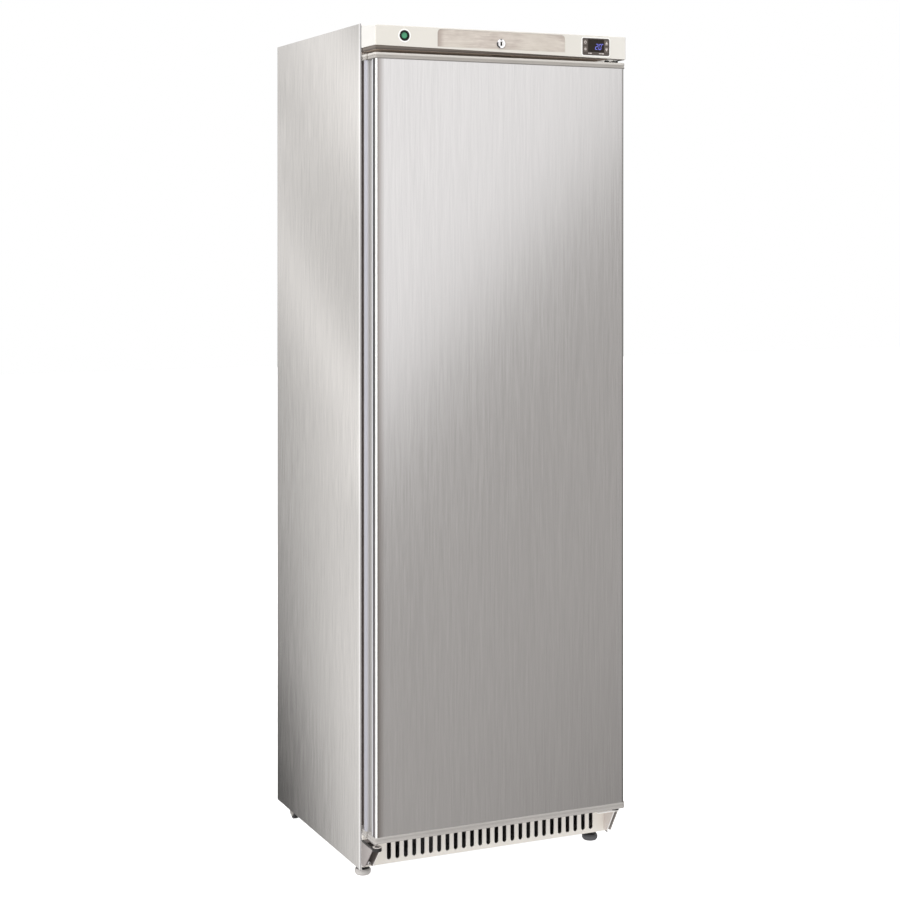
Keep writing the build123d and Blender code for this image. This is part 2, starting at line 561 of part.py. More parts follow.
with BuildPart() as door_gasket:
    # bellows seal: foot, waist and magnet bead, soft
    with BuildSketch(front_plane(-12)):
        with Locations((0, (120 + 1724) / 2)):
            Rectangle(2 * 276, 1724 - 120)
            Rectangle(2 * 262, 1724 - 120 - 28, mode=Mode.SUBTRACT)
    extrude(amount=-3.2)
    with BuildSketch(front_plane(-8.8)):
        with Locations((0, (120 + 1724) / 2)):
            Rectangle(2 * 273.5, 1724 - 120 - 5)
            Rectangle(2 * 264.5, 1724 - 120 - 23, mode=Mode.SUBTRACT)
    extrude(amount=-3.0)
    with BuildSketch(front_plane(-5.8)):
        with Locations((0, (120 + 1724) / 2)):
            Rectangle(2 * 276, 1724 - 120)
            Rectangle(2 * 263, 1724 - 120 - 26, mode=Mode.SUBTRACT)
    extrude(amount=-5.5)
keep("door_gasket", door_gasket.part)


def make_cap(z0, top):
    """End cap of the door: rounded ends, notch where the finger groove runs."""
    with BuildPart() as cap:
        # three layers: lip, shallow groove, thicker outer rim
        layers = ((0, 3.2, 0), (3.2, 6.6, 0.9), (6.6, CAP, 0)) if top else ((0, CAP - 6.6, 0), (CAP - 6.6, CAP - 3.2, 0.9), (CAP - 3.2, CAP, 0))
        for low, high, inset in layers:
            with BuildSketch(Plane.XY.offset(z0 + low)) as plan:
                with Locations((0, fy(-42.5))):
                    Rectangle(599.4 - 2 * inset, 71 - 2 * inset)
                fillet(plan.vertices().group_by(Axis.X)[-1].group_by(Axis.Y)[0], radius=9 - inset)
                fillet(plan.vertices().group_by(Axis.X)[-1].group_by(Axis.Y)[-1], radius=4 - inset)
                fillet(plan.vertices().group_by(Axis.X)[0].group_by(Axis.Y)[-1], radius=4 - inset)
                fillet(plan.vertices().group_by(Axis.X)[0].group_by(Axis.Y)[0], radius=5 - inset)
                with Locations((-299, fy(-36.5))):
                    SlotOverall(18, 8, mode=Mode.SUBTRACT)
            extrude(amount=high - low)
        outer_face = cap.faces().sort_by(Axis.Z)[-1 if top else 0]
        fillet(outer_face.outer_wire().edges(), radius=1.8)
        # seat of the pivot bush
        rod_z(PIN_X, -PIN_D, z0 - 1, z0 + CAP + 1, 6.6, Mode.SUBTRACT)
        if top:
            # slot that takes the lock's cam
            block(LOCK_X - 8, LOCK_X + 30, -56, -45, z0 + 3, z0 + CAP + 1, Mode.SUBTRACT)
    return cap.part


keep("door_top_cap", make_cap(DOOR_TOP - CAP, True))
keep("door_bottom_cap", make_cap(DOOR_LOW, False))

with BuildPart() as bush_top:
    rod_z(PIN_X, -PIN_D, DOOR_TOP - CAP + 0.2, DOOR_TOP + 0.1, 6.5)
    rod_z(PIN_X, -PIN_D, DOOR_TOP, DOOR_TOP + 2.2, 8)
    rod_z(PIN_X, -PIN_D, DOOR_TOP - CAP + 1.2, DOOR_TOP + 5, PIN_R + PIN_CLEAR, Mode.SUBTRACT)
with BuildPart() as bush_bottom:
    rod_z(PIN_X, -PIN_D, DOOR_LOW - 0.1, DOOR_LOW + CAP - 0.2, 6.5)
    rod_z(PIN_X, -PIN_D, DOOR_LOW - 2.2, DOOR_LOW, 8)
    rod_z(PIN_X, -PIN_D, DOOR_LOW - 5, DOOR_LOW + CAP - 1.2, PIN_R + PIN_CLEAR, Mode.SUBTRACT)
keep("door_bushes", Compound(children=[bush_top.part.solid(), bush_bottom.part.solid()]))

# ================================================================ inside the cabinet
runners = []
for z in SHELF_Z:
    for side in (-1, 1):
        with BuildPart() as runner:
            block(side * 245, side * 248, 62, 432, z - 12, z + 12)
            block(side * 232, side * 246, 62, 432, z - 6.8, z - 3.4)
            block(side * 232, side * 246, 434 - 2.5, 434, z - 6.8, z + 4)
        runners.append(runner.part.solid())
keep("shelf_runners", Compound(children=runners))


def make_shelf(z):
    with BuildPart() as shelf:
        # bent frame of round wire
        with BuildLine() as loop:
            FilletPolyline(
                (-239.5, fy(53.5), z), (239.5, fy(53.5), z), (239.5, fy(426.5), z), (-239.5, fy(426.5), z),
                close=True, radius=12,
            )
        with BuildSketch(Plane(origin=loop.line @ 0, z_dir=loop.line % 0)):
            Circle(3)
        sweep()
        # two stiffening wires and the deck wires, welded on top
        for d in (165, 315):
            rod_x(d, z, -239.5, 239.5, 2.5)
        for i in range(21):
            rod_y(-220 + 22 * i, z + 3.6, 52.5, 427.5, 1.7)
    return shelf.part


shelf_one = make_shelf(SHELF_Z[0])
for i, z in enumerate(SHELF_Z):
    with BuildPart() as shelf_copy:
        add(shelf_one.moved(Location((0, 0, z - SHELF_Z[0]))))
    keep("wire_shelf_%d" % (i + 1), shelf_copy.part)

with BuildPart() as evaporator_plate:
    # flat plate with its raised refrigerant channel and the spacers behind it
    block(-215, 215, 444, 446, 700, 1560)
    for i in range(9):
        z = 750 + i * 95
        block(-195, 195, 442.4, 444, z - 6, z + 6)
        if i < 8:
            s = 1 if i % 2 == 0 else -1
            block(s * 195, s * 183, 442.4, 444, z - 6, z + 101)
    for x in (-190, 190):
        for z in (720, 1130, 1540):
            rod_y(x, z, 446, 458, 6)
keep("evaporator_plate", evaporator_plate.part)

FAN_Z = 1650.0
with BuildPart() as fan_housing:
    # white cover of the circulation fan, open to the rear, with a moulded guard
    block(-112, 112, 338, 458, 1606, 1696)
    fillet(fan_housing.edges().filter_by(Axis.Y).group_by(Axis.Z)[0], radius=10)
    fillet(fan_housing.edges().group_by(Axis.Y)[0], radius=4)
    block(-109.5, 109.5, 340.5, 470, 1608.5, 1696, Mode.SUBTRACT)
    with BuildSketch(front_plane(337)):
        with Locations((0, FAN_Z)):
            for r in (39, 31.5, 24, 16.5):
                Circle(r)
                Circle(r - 4.5, mode=Mode.SUBTRACT)
            Rectangle(80, 3, mode=Mode.SUBTRACT)
            Rectangle(3, 80, mode=Mode.SUBTRACT)
    extrude(amount=-5, mode=Mode.SUBTRACT)
    # closing roof strip that screws to the ceiling
    block(-112, 112, 340.5, 456, 1694, 1696)
    # arms that carry the motor
    block(-109.5, 109.5, 396, 399, FAN_Z - 5, FAN_Z + 5)
keep("fan_housing", fan_housing.part)


def make_fan(x, z, d, radius, hub, chord, n, pitch_deg):
    with BuildPart(Plane(origin=(x, fy(d), z), x_dir=(1, 0, 0), z_dir=(0, -1, 0))) as fan:
        Cylinder(hub, 14)
        with PolarLocations((radius + hub) / 2 - 1, n):
            Box(radius - hub + 2, chord, 1.6, rotation=(pitch_deg, 0, 0))
        with Locations((0, 0, -8)):
            Cylinder(2.5 + PIN_CLEAR, 20, mode=Mode.SUBTRACT)
    return fan.part


keep("evaporator_fan_blades", make_fan(0, FAN_Z, 357, 38, 11, 20, 5, 28))
COND_X, COND_Z = -145.0, 152.0
keep("condenser_fan_blades", make_fan(COND_X, COND_Z, 394, 82, 22, 44, 5, 24))


def make_motor(x, z, d_shaft, d0, d1, r):
    with BuildPart() as motor:
        rod_y(x, z, d0, d1, r)
        fillet(motor.edges().filter_by(GeomType.CIRCLE), radius=2.5)
        rod_y(x, z, d_shaft, d0 + 1, 2.5)
    return motor.part.solid()


keep("fan_motors", Compound(children=[
    make_motor(0, FAN_Z, 358, 366.5, 396, 17),
    make_motor(COND_X, COND_Z, 395, 405, 446, 28),
]))

with BuildPart() as interior_lamp:
    block(-75, 75, 44, 84, 1693.5, 1696)
    with BuildSketch(Plane.XY.offset(1682)):
        with Locations((0, fy(64))):
            RectangleRounded(138, 30, 6)
    extrude(amount=11.6)
    fillet(interior_lamp.edges().group_by(Axis.Z)[0], radius=3)
keep("interior_lamp", interior_lamp.part)

with BuildPart() as temperature_probe:
    rod_z(-240.5, 250, 1450, 1500, 3.5)
    fillet(temperature_probe.edges().filter_by(GeomType.CIRCLE), radius=1.5)
    block(-248, -240, 246, 254, 1480, 1488)
    block(-248, -246, 240, 260, 1474, 1494)
keep("temperature_probe", temperature_probe.part)

with BuildPart() as drain_funnel:
    rod_z(150, 440, 254, HUMP_TOP + 3.5, 7.0)
    with Locations((150, fy(440), HUMP_TOP + 3)):
        Cylinder(13, 2)
    rod_z(150, 440, 250, HUMP_TOP + 10, 5.0, Mode.SUBTRACT)

# ================================================================ machine compartment
COMP_X, COMP_D = 150.0, 410.0
with BuildPart() as compressor:
    rod_z(COMP_X, COMP_D, 50, 198, 72)
    fillet(compressor.edges().filter_by(GeomType.CIRCLE), radius=30)
    rod_z(COMP_X, COMP_D, 122, 126, 75)      # welded seam
    block(COMP_X - 92, COMP_X + 92, COMP_D - 52, COMP_D + 52, 43, 46)
    block(COMP_X - 40, COMP_X + 40, COMP_D - 40, COMP_D + 40, 44, 60)
    block(COMP_X + 60, COMP_X + 96, COMP_D - 28, COMP_D + 28, 96, 156)   # start relay cover
    for sx in (-1, 1):
        for sy in (-1, 1):
            rod_z(COMP_X + sx * 80, COMP_D + sy * 40, 40, 50, 6, Mode.SUBTRACT)
keep("compressor", compressor.part)

grommets = []
for sx in (-1, 1):
    for sy in (-1, 1):
        with BuildPart() as grommet:
            rod_z(COMP_X + sx * 80, COMP_D + sy * 40, BASE_Z + 1.5, 43, 11)
            rod_z(COMP_X + sx * 80, COMP_D + sy * 40, 40, 48, 5.9)
            rod_z(COMP_X + sx * 80, COMP_D + sy * 40, 46, 52, 9)
        grommets.append(grommet.part.solid())
keep("compressor_grommets", Compound(children=grommets))

with BuildPart() as condenser_coil:
    # aluminium fins threaded on straight tube passes with end bends
    for i in range(24):
        block(-252 + i * 9.2, -252 + i * 9.2 + 0.8, 326, 366, 44, 262)
    for row, d in enumerate((336, 356)):
        for k in range(6):
            rod_x(d, 62 + k * 36, -258, -30, 4)
    for d in (336, 356):
        for k in range(5):
            xe = -262 if k % 2 else -30
            block(xe, xe + 4, d - 4, d + 4, 58 + k * 36, 102 + k * 36)
keep("condenser_coil", condenser_coil.part)

with BuildPart() as condenser_fan_shroud:
    block(-254, -36, 370, 372, 42, 264)
    rod_y(COND_X, COND_Z, 371, 398, 88)
    rod_y(COND_X, COND_Z, 368, 400, 86, Mode.SUBTRACT)
    for s in (-1, 1):
        block(COND_X + s * 96, COND_X + s * 98, 371, 449, COND_Z - 6, COND_Z + 6)
    block(COND_X - 98, COND_X + 98, 447, 449, COND_Z - 6, COND_Z + 6)
    block(-254, -36, 371, 385, BASE_Z + 1.5, BASE_Z + 3)
    block(-254, -36, 370, 372, BASE_Z + 1.5, 44)
keep("condenser_fan_shroud", condenser_fan_shroud.part)

with BuildPart() as evaporation_tray:
    block(62, 238, 330, 500, 226, 252)
    block(64, 236, 332, 498, 228, 260, Mode.SUBTRACT)
    for sx in (66, 226):
        for d in (340, 482):
            block(sx, sx + 8, d, d + 8, 205, 227)
keep("condensate_drain", Compound(children=[drain_funnel.part.solid(), evaporation_tray.part.solid()]))


def pipe(points, r, bend):
    with BuildPart() as tube:
        with BuildLine() as route:
            FilletPolyline(*[(x, fy(d), z) for x, d, z in points], radius=bend)
        with BuildSketch(Plane(origin=route.line @ 0, z_dir=route.line % 0)):
            Circle(r)
        sweep()
    return tube.part.solid()


keep("refrigerant_pipes", Compound(children=[
    # discharge to the condenser
    pipe([(77.7, 410, 150), (42, 410, 150), (42, 410, 212), (12, 356, 242), (-24, 356, 242)], 3, 8),
    # suction from the evaporator, coming down the rear of the compartment
    pipe([(150, 482.3, 150), (150, 508, 150), (150, 508, 262), (270, 508, 262)], 4, 10),
    # warm loop that runs forward under the door seal
    pipe([(255, 330, 50), (255, 60, 50), (212, 26, 84), (150, 26, 90), (120, 60, 92)], 3, 14),
]))

with BuildPart() as rear_cover:
    block(-HW + 8, HW - 8, STEEL_DEPTH, STEEL_DEPTH + 1, 33, 292)
    with BuildSketch(front_plane(STEEL_DEPTH - 2)):
        with Locations((0, 172)):
            with GridLocations(62, 22, 8, 7):
                SlotOverall(48, 7)
    extrude(amount=-5, mode=Mode.SUBTRACT)
    block(-248, -216, STEEL_DEPTH - 2, STEEL_DEPTH + 3, 48, 75, Mode.SUBTRACT)
    for x in (-286, 0, 286):
        for z in (41, 284):
            rod_y(x, z, STEEL_DEPTH - 2, STEEL_DEPTH + 3, 2.1, Mode.SUBTRACT)
keep("rear_cover", rear_cover.part)

INLET_X, INLET_Z = -232.0, 61.5
with BuildPart() as power_inlet:
    block(INLET_X - 20, INLET_X + 20, STEEL_DEPTH + 1, STEEL_DEPTH + 2, INLET_Z - 15.5, INLET_Z + 15.5)
    fillet(power_inlet.edges().filter_by(Axis.Y), radius=4)
    block(INLET_X - 15, INLET_X + 15, STEEL_DEPTH - 20, STEEL_DEPTH + 1.5, INLET_Z - 12, INLET_Z + 12)
    block(INLET_X - 12.2, INLET_X + 12.2, STEEL_DEPTH - 15, STEEL_DEPTH + 3, INLET_Z - 8.2, INLET_Z + 8.2, Mode.SUBTRACT)
    for dx, dz in ((-7, -2), (0, 2), (7, -2)):
        block(INLET_X + dx - 1, INLET_X + dx + 1, STEEL_DEPTH - 20, STEEL_DEPTH - 4, INLET_Z + dz - 2, INLET_Z + dz + 2)
keep("power_inlet", power_inlet.part)


def screw_y(x, z, d_face, grip, out, head=3.6, thick=1.0):
    """Pan-head screw along Y; out is -1 when the head faces the front."""
    with BuildPart() as screw:
        rod_y(x, z, d_face, d_face + out * thick, head)
        rod_y(x, z, d_face, d_face - out * grip, 2.0)
        rim = screw.edges().filter_by(GeomType.CIRCLE).filter_by(lambda e: e.radius > head - 0.1)
        rim = rim.group_by(Axis.Y)[0 if out < 0 else -1]
        fillet(rim, radius=min(thick * 0.6, 1.4))
    return screw.part.solid()


fasteners = []
for z in BR_SCREWS:
    fasteners.append(screw_y(BR_SCREW_LEFT, z, -3.7, 2.0, -1, head=3.8, thick=7.0))
    fasteners.append(screw_y(BR_SCREW_RIGHT, z, -3.7, 2.0, -1, head=2.8, thick=2.0))
for x in (-286, 0, 286):
    for z in (41, 284):
        fasteners.append(screw_y(x, z, STEEL_DEPTH + 1, 1.0, 1))
keep("screws", Compound(children=fasteners))

# ================================================================ write
os.makedirs("parts", exist_ok=True)
for name, part in made.items():
    part.label = name
    export_step(part, "parts/%s.step" % name)
print(len(made), "nodes")
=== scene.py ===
import math

import bmesh
import bpy
from mathutils import Matrix, Vector


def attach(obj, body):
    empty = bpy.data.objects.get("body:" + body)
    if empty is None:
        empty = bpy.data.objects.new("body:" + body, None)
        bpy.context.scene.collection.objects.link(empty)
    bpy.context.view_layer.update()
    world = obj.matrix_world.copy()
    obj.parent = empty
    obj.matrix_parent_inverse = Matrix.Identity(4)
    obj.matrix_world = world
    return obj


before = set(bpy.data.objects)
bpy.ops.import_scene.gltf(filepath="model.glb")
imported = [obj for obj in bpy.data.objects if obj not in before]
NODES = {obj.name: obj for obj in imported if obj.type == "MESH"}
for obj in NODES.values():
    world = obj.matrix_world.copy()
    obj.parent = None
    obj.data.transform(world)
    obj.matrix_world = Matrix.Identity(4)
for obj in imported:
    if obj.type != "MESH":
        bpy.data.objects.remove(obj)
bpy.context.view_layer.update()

scene = bpy.context.scene
scene.view_settings.view_transform = "Standard"
scene.view_settings.look = "None"
scene.view_settings.exposure = 0.0
scene.view_settings.gamma = 1.0

MM = 0.001
FRONT = -222.5          # cabinet front plane, millimetres along Y


def P(x, d, z):
    """Point in metres from millimetres, d counted behind the cabinet's front plane."""
    return Vector((x * MM, (FRONT + d) * MM, z * MM))


# ------------------------------------------------------------------ camera
cam_data = bpy.data.cameras.new("camera")
cam_data.sensor_fit = "AUTO"
cam_data.sensor_width = 36.0
cam_data.lens = 71.83
cam_data.shift_x = 0.0465
cam_data.shift_y = -0.2366
cam_data.clip_start = 0.05
cam_data.clip_end = 200.0
camera = bpy.data.objects.new("camera", cam_data)
scene.collection.objects.link(camera)
camera.location = (-1.728043, -3.731948, 1.359527)
camera.rotation_euler = (math.pi / 2, 0.0, -0.413085)
scene.camera = camera


# ------------------------------------------------------------------ node helpers
class Net:
    """Small helper to build a shader tree."""

    def __init__(self, tree):
        self.t = tree
        self.x = -1400

    def node(self, kind, **props):
        n = self.t.nodes.new(kind)
        n.location = (self.x, 0)
        self.x += 40
        for k, v in props.items():
            setattr(n, k, v)
        return n

    def link(self, a, b):
        self.t.links.new(a, b)

    def coord(self):
        return self.node("ShaderNodeTexCoord").outputs["Object"]

    def mapping(self, scale=(1, 1, 1), rotation=(0, 0, 0), location=(0, 0, 0), vector=None):
        m = self.node("ShaderNodeMapping")
        m.inputs["Scale"].default_value = scale
        m.inputs["Rotation"].default_value = rotation
        m.inputs["Location"].default_value = location
        self.link(vector or self.coord(), m.inputs["Vector"])
        return m.outputs["Vector"]

    def noise(self, vector, scale=1.0, detail=2.0, rough=0.5, distortion=0.0):
        n = self.node("ShaderNodeTexNoise")
        n.inputs["Scale"].default_value = scale
        n.inputs["Detail"].default_value = detail
        n.inputs["Roughness"].default_value = rough
        n.inputs["Distortion"].default_value = distortion
        self.link(vector, n.inputs["Vector"])
        return n.outputs["Fac"]

    def math(self, op, a, b=None, clamp=False):
        n = self.node("ShaderNodeMath", operation=op, use_clamp=clamp)
        for i, v in enumerate((a, b)):
            if v is None:
                continue
            if hasattr(v, "is_output"):
                self.link(v, n.inputs[i])
            else:
                n.inputs[i].default_value = v
        return n.outputs[0]

    def remap(self, value, lo, hi, a=0.0, b=1.0, smooth=False):
        n = self.node("ShaderNodeMapRange")
        n.interpolation_type = "SMOOTHSTEP" if smooth else "LINEAR"
        n.inputs["From Min"].default_value = lo
        n.inputs["From Max"].default_value = hi
        n.inputs["To Min"].default_value = a
        n.inputs["To Max"].default_value = b
        self.link(value, n.inputs["Value"])
        return n.outputs["Result"]

    def mix(self, fac, a, b):
        n = self.node("ShaderNodeMix", data_type="RGBA")
        if hasattr(fac, "is_output"):
            self.link(fac, n.inputs["Factor"])
        else:
            n.inputs["Factor"].default_value = fac
        for k, v in ((6, a), (7, b)):
            if hasattr(v, "is_output"):
                self.link(v, n.inputs[k])
            else:
                n.inputs[k].default_value = (*v, 1.0)
        return n.outputs[2]

    def bump(self, height, strength, distance, normal=None):
        n = self.node("ShaderNodeBump")
        n.inputs["Strength"].default_value = strength
        n.inputs["Distance"].default_value = distance
        self.link(height, n.inputs["Height"])
        if normal is not None:
            self.link(normal, n.inputs["Normal"])
        return n.outputs["Normal"]

    def ramp(self, value, stops, interpolation="LINEAR"):
        n = self.node("ShaderNodeValToRGB")
        n.color_ramp.interpolation = interpolation
        el = n.color_ramp.elements
        while len(el) < len(stops):
            el.new(0.5)
        for e, (pos, col) in zip(el, stops):
            e.position = pos
            e.color = (*col, 1.0) if len(col) == 3 else col
        self.link(value, n.inputs["Fac"])
        return n.outputs["Color"]

    def curve(self, value, lo, hi, points, top):
        """Piecewise-linear function of a value between lo and hi; points are (place, height)."""
        n = self.node("ShaderNodeFloatCurve")
        c = n.mapping.curves[0]
        pts = [((a - lo) / (hi - lo), b / top) for a, b in points]
        c.points[0].location = pts[0]
        c.points[1].location = pts[-1]
        for q in pts[1:-1]:
            c.points.new(*q)
        for q in c.points:
            q.handle_type = "VECTOR"
        n.mapping.update()
        self.link(self.remap_clamped(value, lo, hi), n.inputs["Value"])
        return self.math("MULTIPLY", n.outputs[0], top)

    def remap_clamped(self, value, lo, hi):
        return self.math("DIVIDE", self.math("SUBTRACT", value, lo), hi - lo, clamp=True)

    def xyz(self, vector):
        n = self.node("ShaderNodeSeparateXYZ")
        self.link(vector, n.inputs[0])
        return n.outputs


def srgb(r, g, b):
    def f(c):
        c /= 255.0
        return c / 12.92 if c <= 0.04045 else ((c + 0.055) / 1.055) ** 2.4
    return (f(r), f(g), f(b))


def new_material(name, **sockets):
    m = bpy.data.materials.new(name)
    m.use_nodes = True
    b = m.node_tree.nodes["Principled BSDF"]
    for k, v in sockets.items():
        key = {
            "metallic": "Metallic", "roughness": "Roughness", "aniso": "Anisotropic", "aniso_rot": "Anisotropic Rotation",
            "coat": "Coat Weight", "coat_rough": "Coat Roughness", "ior": "IOR", "sheen": "Sheen Weight",
            "spec": "Specular IOR Level", "emission": "Emission Strength", "alpha": "Alpha",
            "transmission": "Transmission Weight", "color": "Base Color", "emission_color": "Emission Color",
            "subsurface": "Subsurface Weight",
        }[k]
        b.inputs[key].default_value = (*v, 1.0) if key in ("Base Color", "Emission Color") else v
    return m, b, Net(m.node_tree)


def scaled(c, k):
    return tuple(min(1.0, x * k) for x in c)


def brushed(name, base, grain="Z", rough=0.21, aniso=0.4, contrast=0.035, bump=0.06, tint=None, coarse=1.0):
    """Brushed sheet: long fine scratches along one axis, in colour, gloss and relief."""
    m, b, n = new_material(name, metallic=1.0, aniso=aniso, aniso_rot=0.25)
    c = n.coord()
    i = "XYZ".index(grain)

    def stretch(across, along):
        s = [across * coarse] * 3
        s[i] = along
        return n.mapping(scale=tuple(s), vector=c)
    wide = n.noise(stretch(95, 3.0), detail=2.0, rough=0.5)
    mid = n.noise(stretch(440, 9.0), detail=3.0, rough=0.6)
    fine = n.noise(stretch(1900, 24), detail=2.0, rough=0.6)
    cloud = n.noise(n.mapping(scale=(2.4, 2.4, 1.0), vector=c), detail=1.5)
    g = n.math("ADD", n.math("MULTIPLY", wide, 0.08), n.math("ADD", n.math("MULTIPLY", mid, 0.60), n.math("MULTIPLY", fine, 0.32)))
    g2 = n.remap(g, 0.36, 0.64, 0.0, 1.0)
    col = n.mix(g2, scaled(base, 1 - contrast), scaled(base, 1 + contrast))
    col = n.mix(n.remap(cloud, 0.35, 0.65, 0.0, 0.10), col, scaled(base, 0.94))
    if tint is not None:
        col = tint(n, c, col)
    n.link(col, b.inputs["Base Color"])
    r = n.remap(n.math("ADD", n.math("MULTIPLY", mid, 0.6), n.math("MULTIPLY", fine, 0.4)), 0.35, 0.65, rough - 0.015, rough + 0.015)
    n.link(r, b.inputs["Roughness"])
    n.link(n.bump(n.math("ADD", n.math("MULTIPLY", mid, 0.5), fine), bump, 0.00003), b.inputs["Normal"])
    t = n.node("ShaderNodeCombineXYZ")
    v = [0.0, 0.0, 0.0]
    v[i] = 1.0
    for k in range(3):
        t.inputs[k].default_value = v[k]
    n.link(t.outputs[0], b.inputs["Tangent"])
    return m


def door_edge_painted_shade(n, c, col):
    """Painted shade on the door sheet: where it is folded over the grip and round the hinge edge, its colour is painted
    darker and warmer to stand in for the dark these folds mirror.
    """
    x = n.xyz(c)["X"]
    # painted shade: warm dark band along the grip edge
    left = n.remap(x, -0.2925, -0.2765, 1.0, 0.0)
    col = n.mix(left, col, (0.305, 0.278, 0.262))
    # painted shadow line beside the grip's nose
    col = n.mix(n.remap(x, -0.2935, -0.2905, 0.8, 0.0), col, (0.15, 0.125, 0.115))
    # painted shade: dark line along the hinge edge
    right = n.remap(x, 0.2885, 0.2945, 0.0, 0.75, smooth=True)
    return n.mix(right, col, (0.20, 0.19, 0.18))


def side_fold_painted_light(n, c, col):
    """Painted light along the front fold of the side sheet: a painted highlight behind the fold and painted shade on
    the fold itself.
    """
    o = n.xyz(c)
    # painted highlight: paler colour close to the front fold
    front = n.remap(o["Y"], -0.2215, -0.2060, 1.0, 0.0, smooth=True)
    col = n.mix(front, col, (0.97, 0.965, 0.96))
    # painted shade on the fold's outer face
    shade = n.remap(o["Y"], -0.2208, -0.2216, 0.0, 1.0, smooth=True)
    shade = n.math("MULTIPLY", shade, n.remap(o["X"], -0.2982, -0.2976, 1.0, 0.0))
    return n.mix(shade, col, (0.15, 0.14, 0.14))


def cap_plastic(name):
    """End caps: grey moulding with painted light: a painted highlight on the top cap's outer lip where its shallow
    ridges are, a painted shadow line along its lower edge, and the top cap painted darker and warmer than the bottom
    one.
    """
    m, b, n = new_material(name, coat=0.15, coat_rough=0.25)
    c = n.coord()
    z = n.xyz(c)["Z"]
    cloud = n.noise(n.mapping(scale=(12, 12, 12), vector=c), detail=2.0)
    speck = n.noise(n.mapping(scale=(900, 900, 900), vector=c), detail=1.0)
    # painted highlight on the top cap's lip
    lip = n.remap(z, 1.7378, 1.7398, 0.0, 1.0, smooth=True)
    # painted shadow line under the top cap
    under = n.remap(z, 1.7312, 1.7330, 1.0, 0.0, smooth=True)
    high = n.remap(z, 0.9, 1.0, 0.0, 1.0)
    tone = n.remap(cloud, 0.3, 0.7)
    # painted shade: the top cap darker and warmer than the bottom cap
    col = n.mix(high, n.mix(tone, srgb(179, 175, 171), srgb(186, 182, 178)), n.mix(tone, srgb(170, 165, 159), srgb(177, 172, 166)))
    col = n.mix(n.math("MULTIPLY", under, high), col, srgb(122, 118, 114))
    col = n.mix(lip, col, srgb(206, 202, 196))
    n.link(col, b.inputs["Base Color"])
    n.link(n.remap(speck, 0.3, 0.7, 0.36, 0.46), b.inputs["Roughness"])
    n.link(n.bump(speck, 0.08, 0.0001), b.inputs["Normal"])
    return m


def grip_material(name):
    """Grip extrusion in pale grey-lavender plastic; its bands carry painted light: painted shade in the beige finger
    groove and on the rear of the bulb, a near-black painted shadow in the seam, darker towards the top, and a white
    painted highlight on the nose.
    """
    m, b, n = new_material(name, coat=0.25, coat_rough=0.2)
    c = n.coord()
    o = n.xyz(c)
    d = n.math("MULTIPLY", n.math("ADD", o["Y"], 0.2225), 1000.0)      # depth behind the front plane, mm
    streak = n.noise(n.mapping(scale=(900, 900, 3.0), vector=c), detail=2.0)
    # painted shade on the rear of the bulb
    bulb = n.mix(n.remap(d, -22.0, -18.0), srgb(172, 172, 181), srgb(116, 107, 104))
    # painted shade in the finger groove
    groove = n.mix(n.remap(d, -52.5, -49.5, smooth=True), srgb(204, 205, 209), srgb(184, 181, 175))
    body = n.mix(n.remap(d, -33.0, -28.5, smooth=True), groove, bulb)
    # painted shadow in the seam, darker towards the top
    seam_painted_shadow = n.mix(n.remap(o["Z"], 0.15, 0.9), srgb(96, 90, 92), srgb(26, 24, 22))
    col = n.mix(n.remap(d, -62.4, -61.8), seam_painted_shadow, body)
    # painted highlight on the nose
    col = n.mix(n.remap(d, -75.2, -74.6), srgb(252, 252, 250), col)
    col = n.mix(n.remap(streak, 0.3, 0.7, 0.0, 0.06), col, (0.35, 0.35, 0.36))
    n.link(col, b.inputs["Base Color"])
    n.link(n.remap(streak, 0.3, 0.7, 0.26, 0.36), b.inputs["Roughness"])
    n.link(n.bump(streak, 0.05, 0.00005), b.inputs["Normal"])
    return m


def plastic(name, base, rough=0.42, tex=900, bump=0.08, variation=0.02, coat=0.0, spec=0.5):
    """Moulded plastic: fine spark-eroded texture, faint clouding."""
    m, b, n = new_material(name, coat=coat, coat_rough=0.2, spec=spec)
    c = n.coord()
    cloud = n.noise(n.mapping(scale=(9, 9, 9), vector=c), detail=2.0)
    speck = n.noise(n.mapping(scale=(tex, tex, tex), vector=c), detail=1.0)
    col = n.mix(n.remap(cloud, 0.3, 0.7), scaled(base, 1 - variation), scaled(base, 1 + variation * 0.5))
    n.link(col, b.inputs["Base Color"])
    n.link(n.remap(n.math("ADD", n.math("MULTIPLY", cloud, 0.5), n.math("MULTIPLY", speck, 0.5)), 0.3, 0.7, rough - 0.04, rough + 0.04), b.inputs["Roughness"])
    n.link(n.bump(speck, bump, 0.0001), b.inputs["Normal"])
    return m


def header_material(name):
    """Off-white moulding with painted light: painted paler towards its right end, and its left end face painted a
    paler, cooler tone.
    """
    m, b, n = new_material(name)
    c = n.coord()
    cloud = n.noise(n.mapping(scale=(9, 9, 9), vector=c), detail=2.0)
    speck = n.noise(n.mapping(scale=(1100, 1100, 1100), vector=c), detail=1.0)
    o = n.xyz(c)
    col = n.mix(n.remap(cloud, 0.3, 0.7), srgb(219, 215, 207), srgb(222, 218, 210))
    # painted light: paler towards the right end
    col = n.mix(n.remap(o["X"], 0.12, 0.30, 0.0, 1.0), col, srgb(229, 226, 219))
    # painted light: the left end face in its own tone
    col = n.mix(n.remap(o["X"], -0.2985, -0.2990, 0.0, 1.0), col, srgb(223, 221, 217))
    n.link(col, b.inputs["Base Color"])
    n.link(n.remap(n.math("ADD", n.math("MULTIPLY", cloud, 0.5), n.math("MULTIPLY", speck, 0.5)), 0.3, 0.7, 0.41, 0.49), b.inputs["Roughness"])
    n.link(n.bump(speck, 0.05, 0.0001), b.inputs["Normal"])
    return m


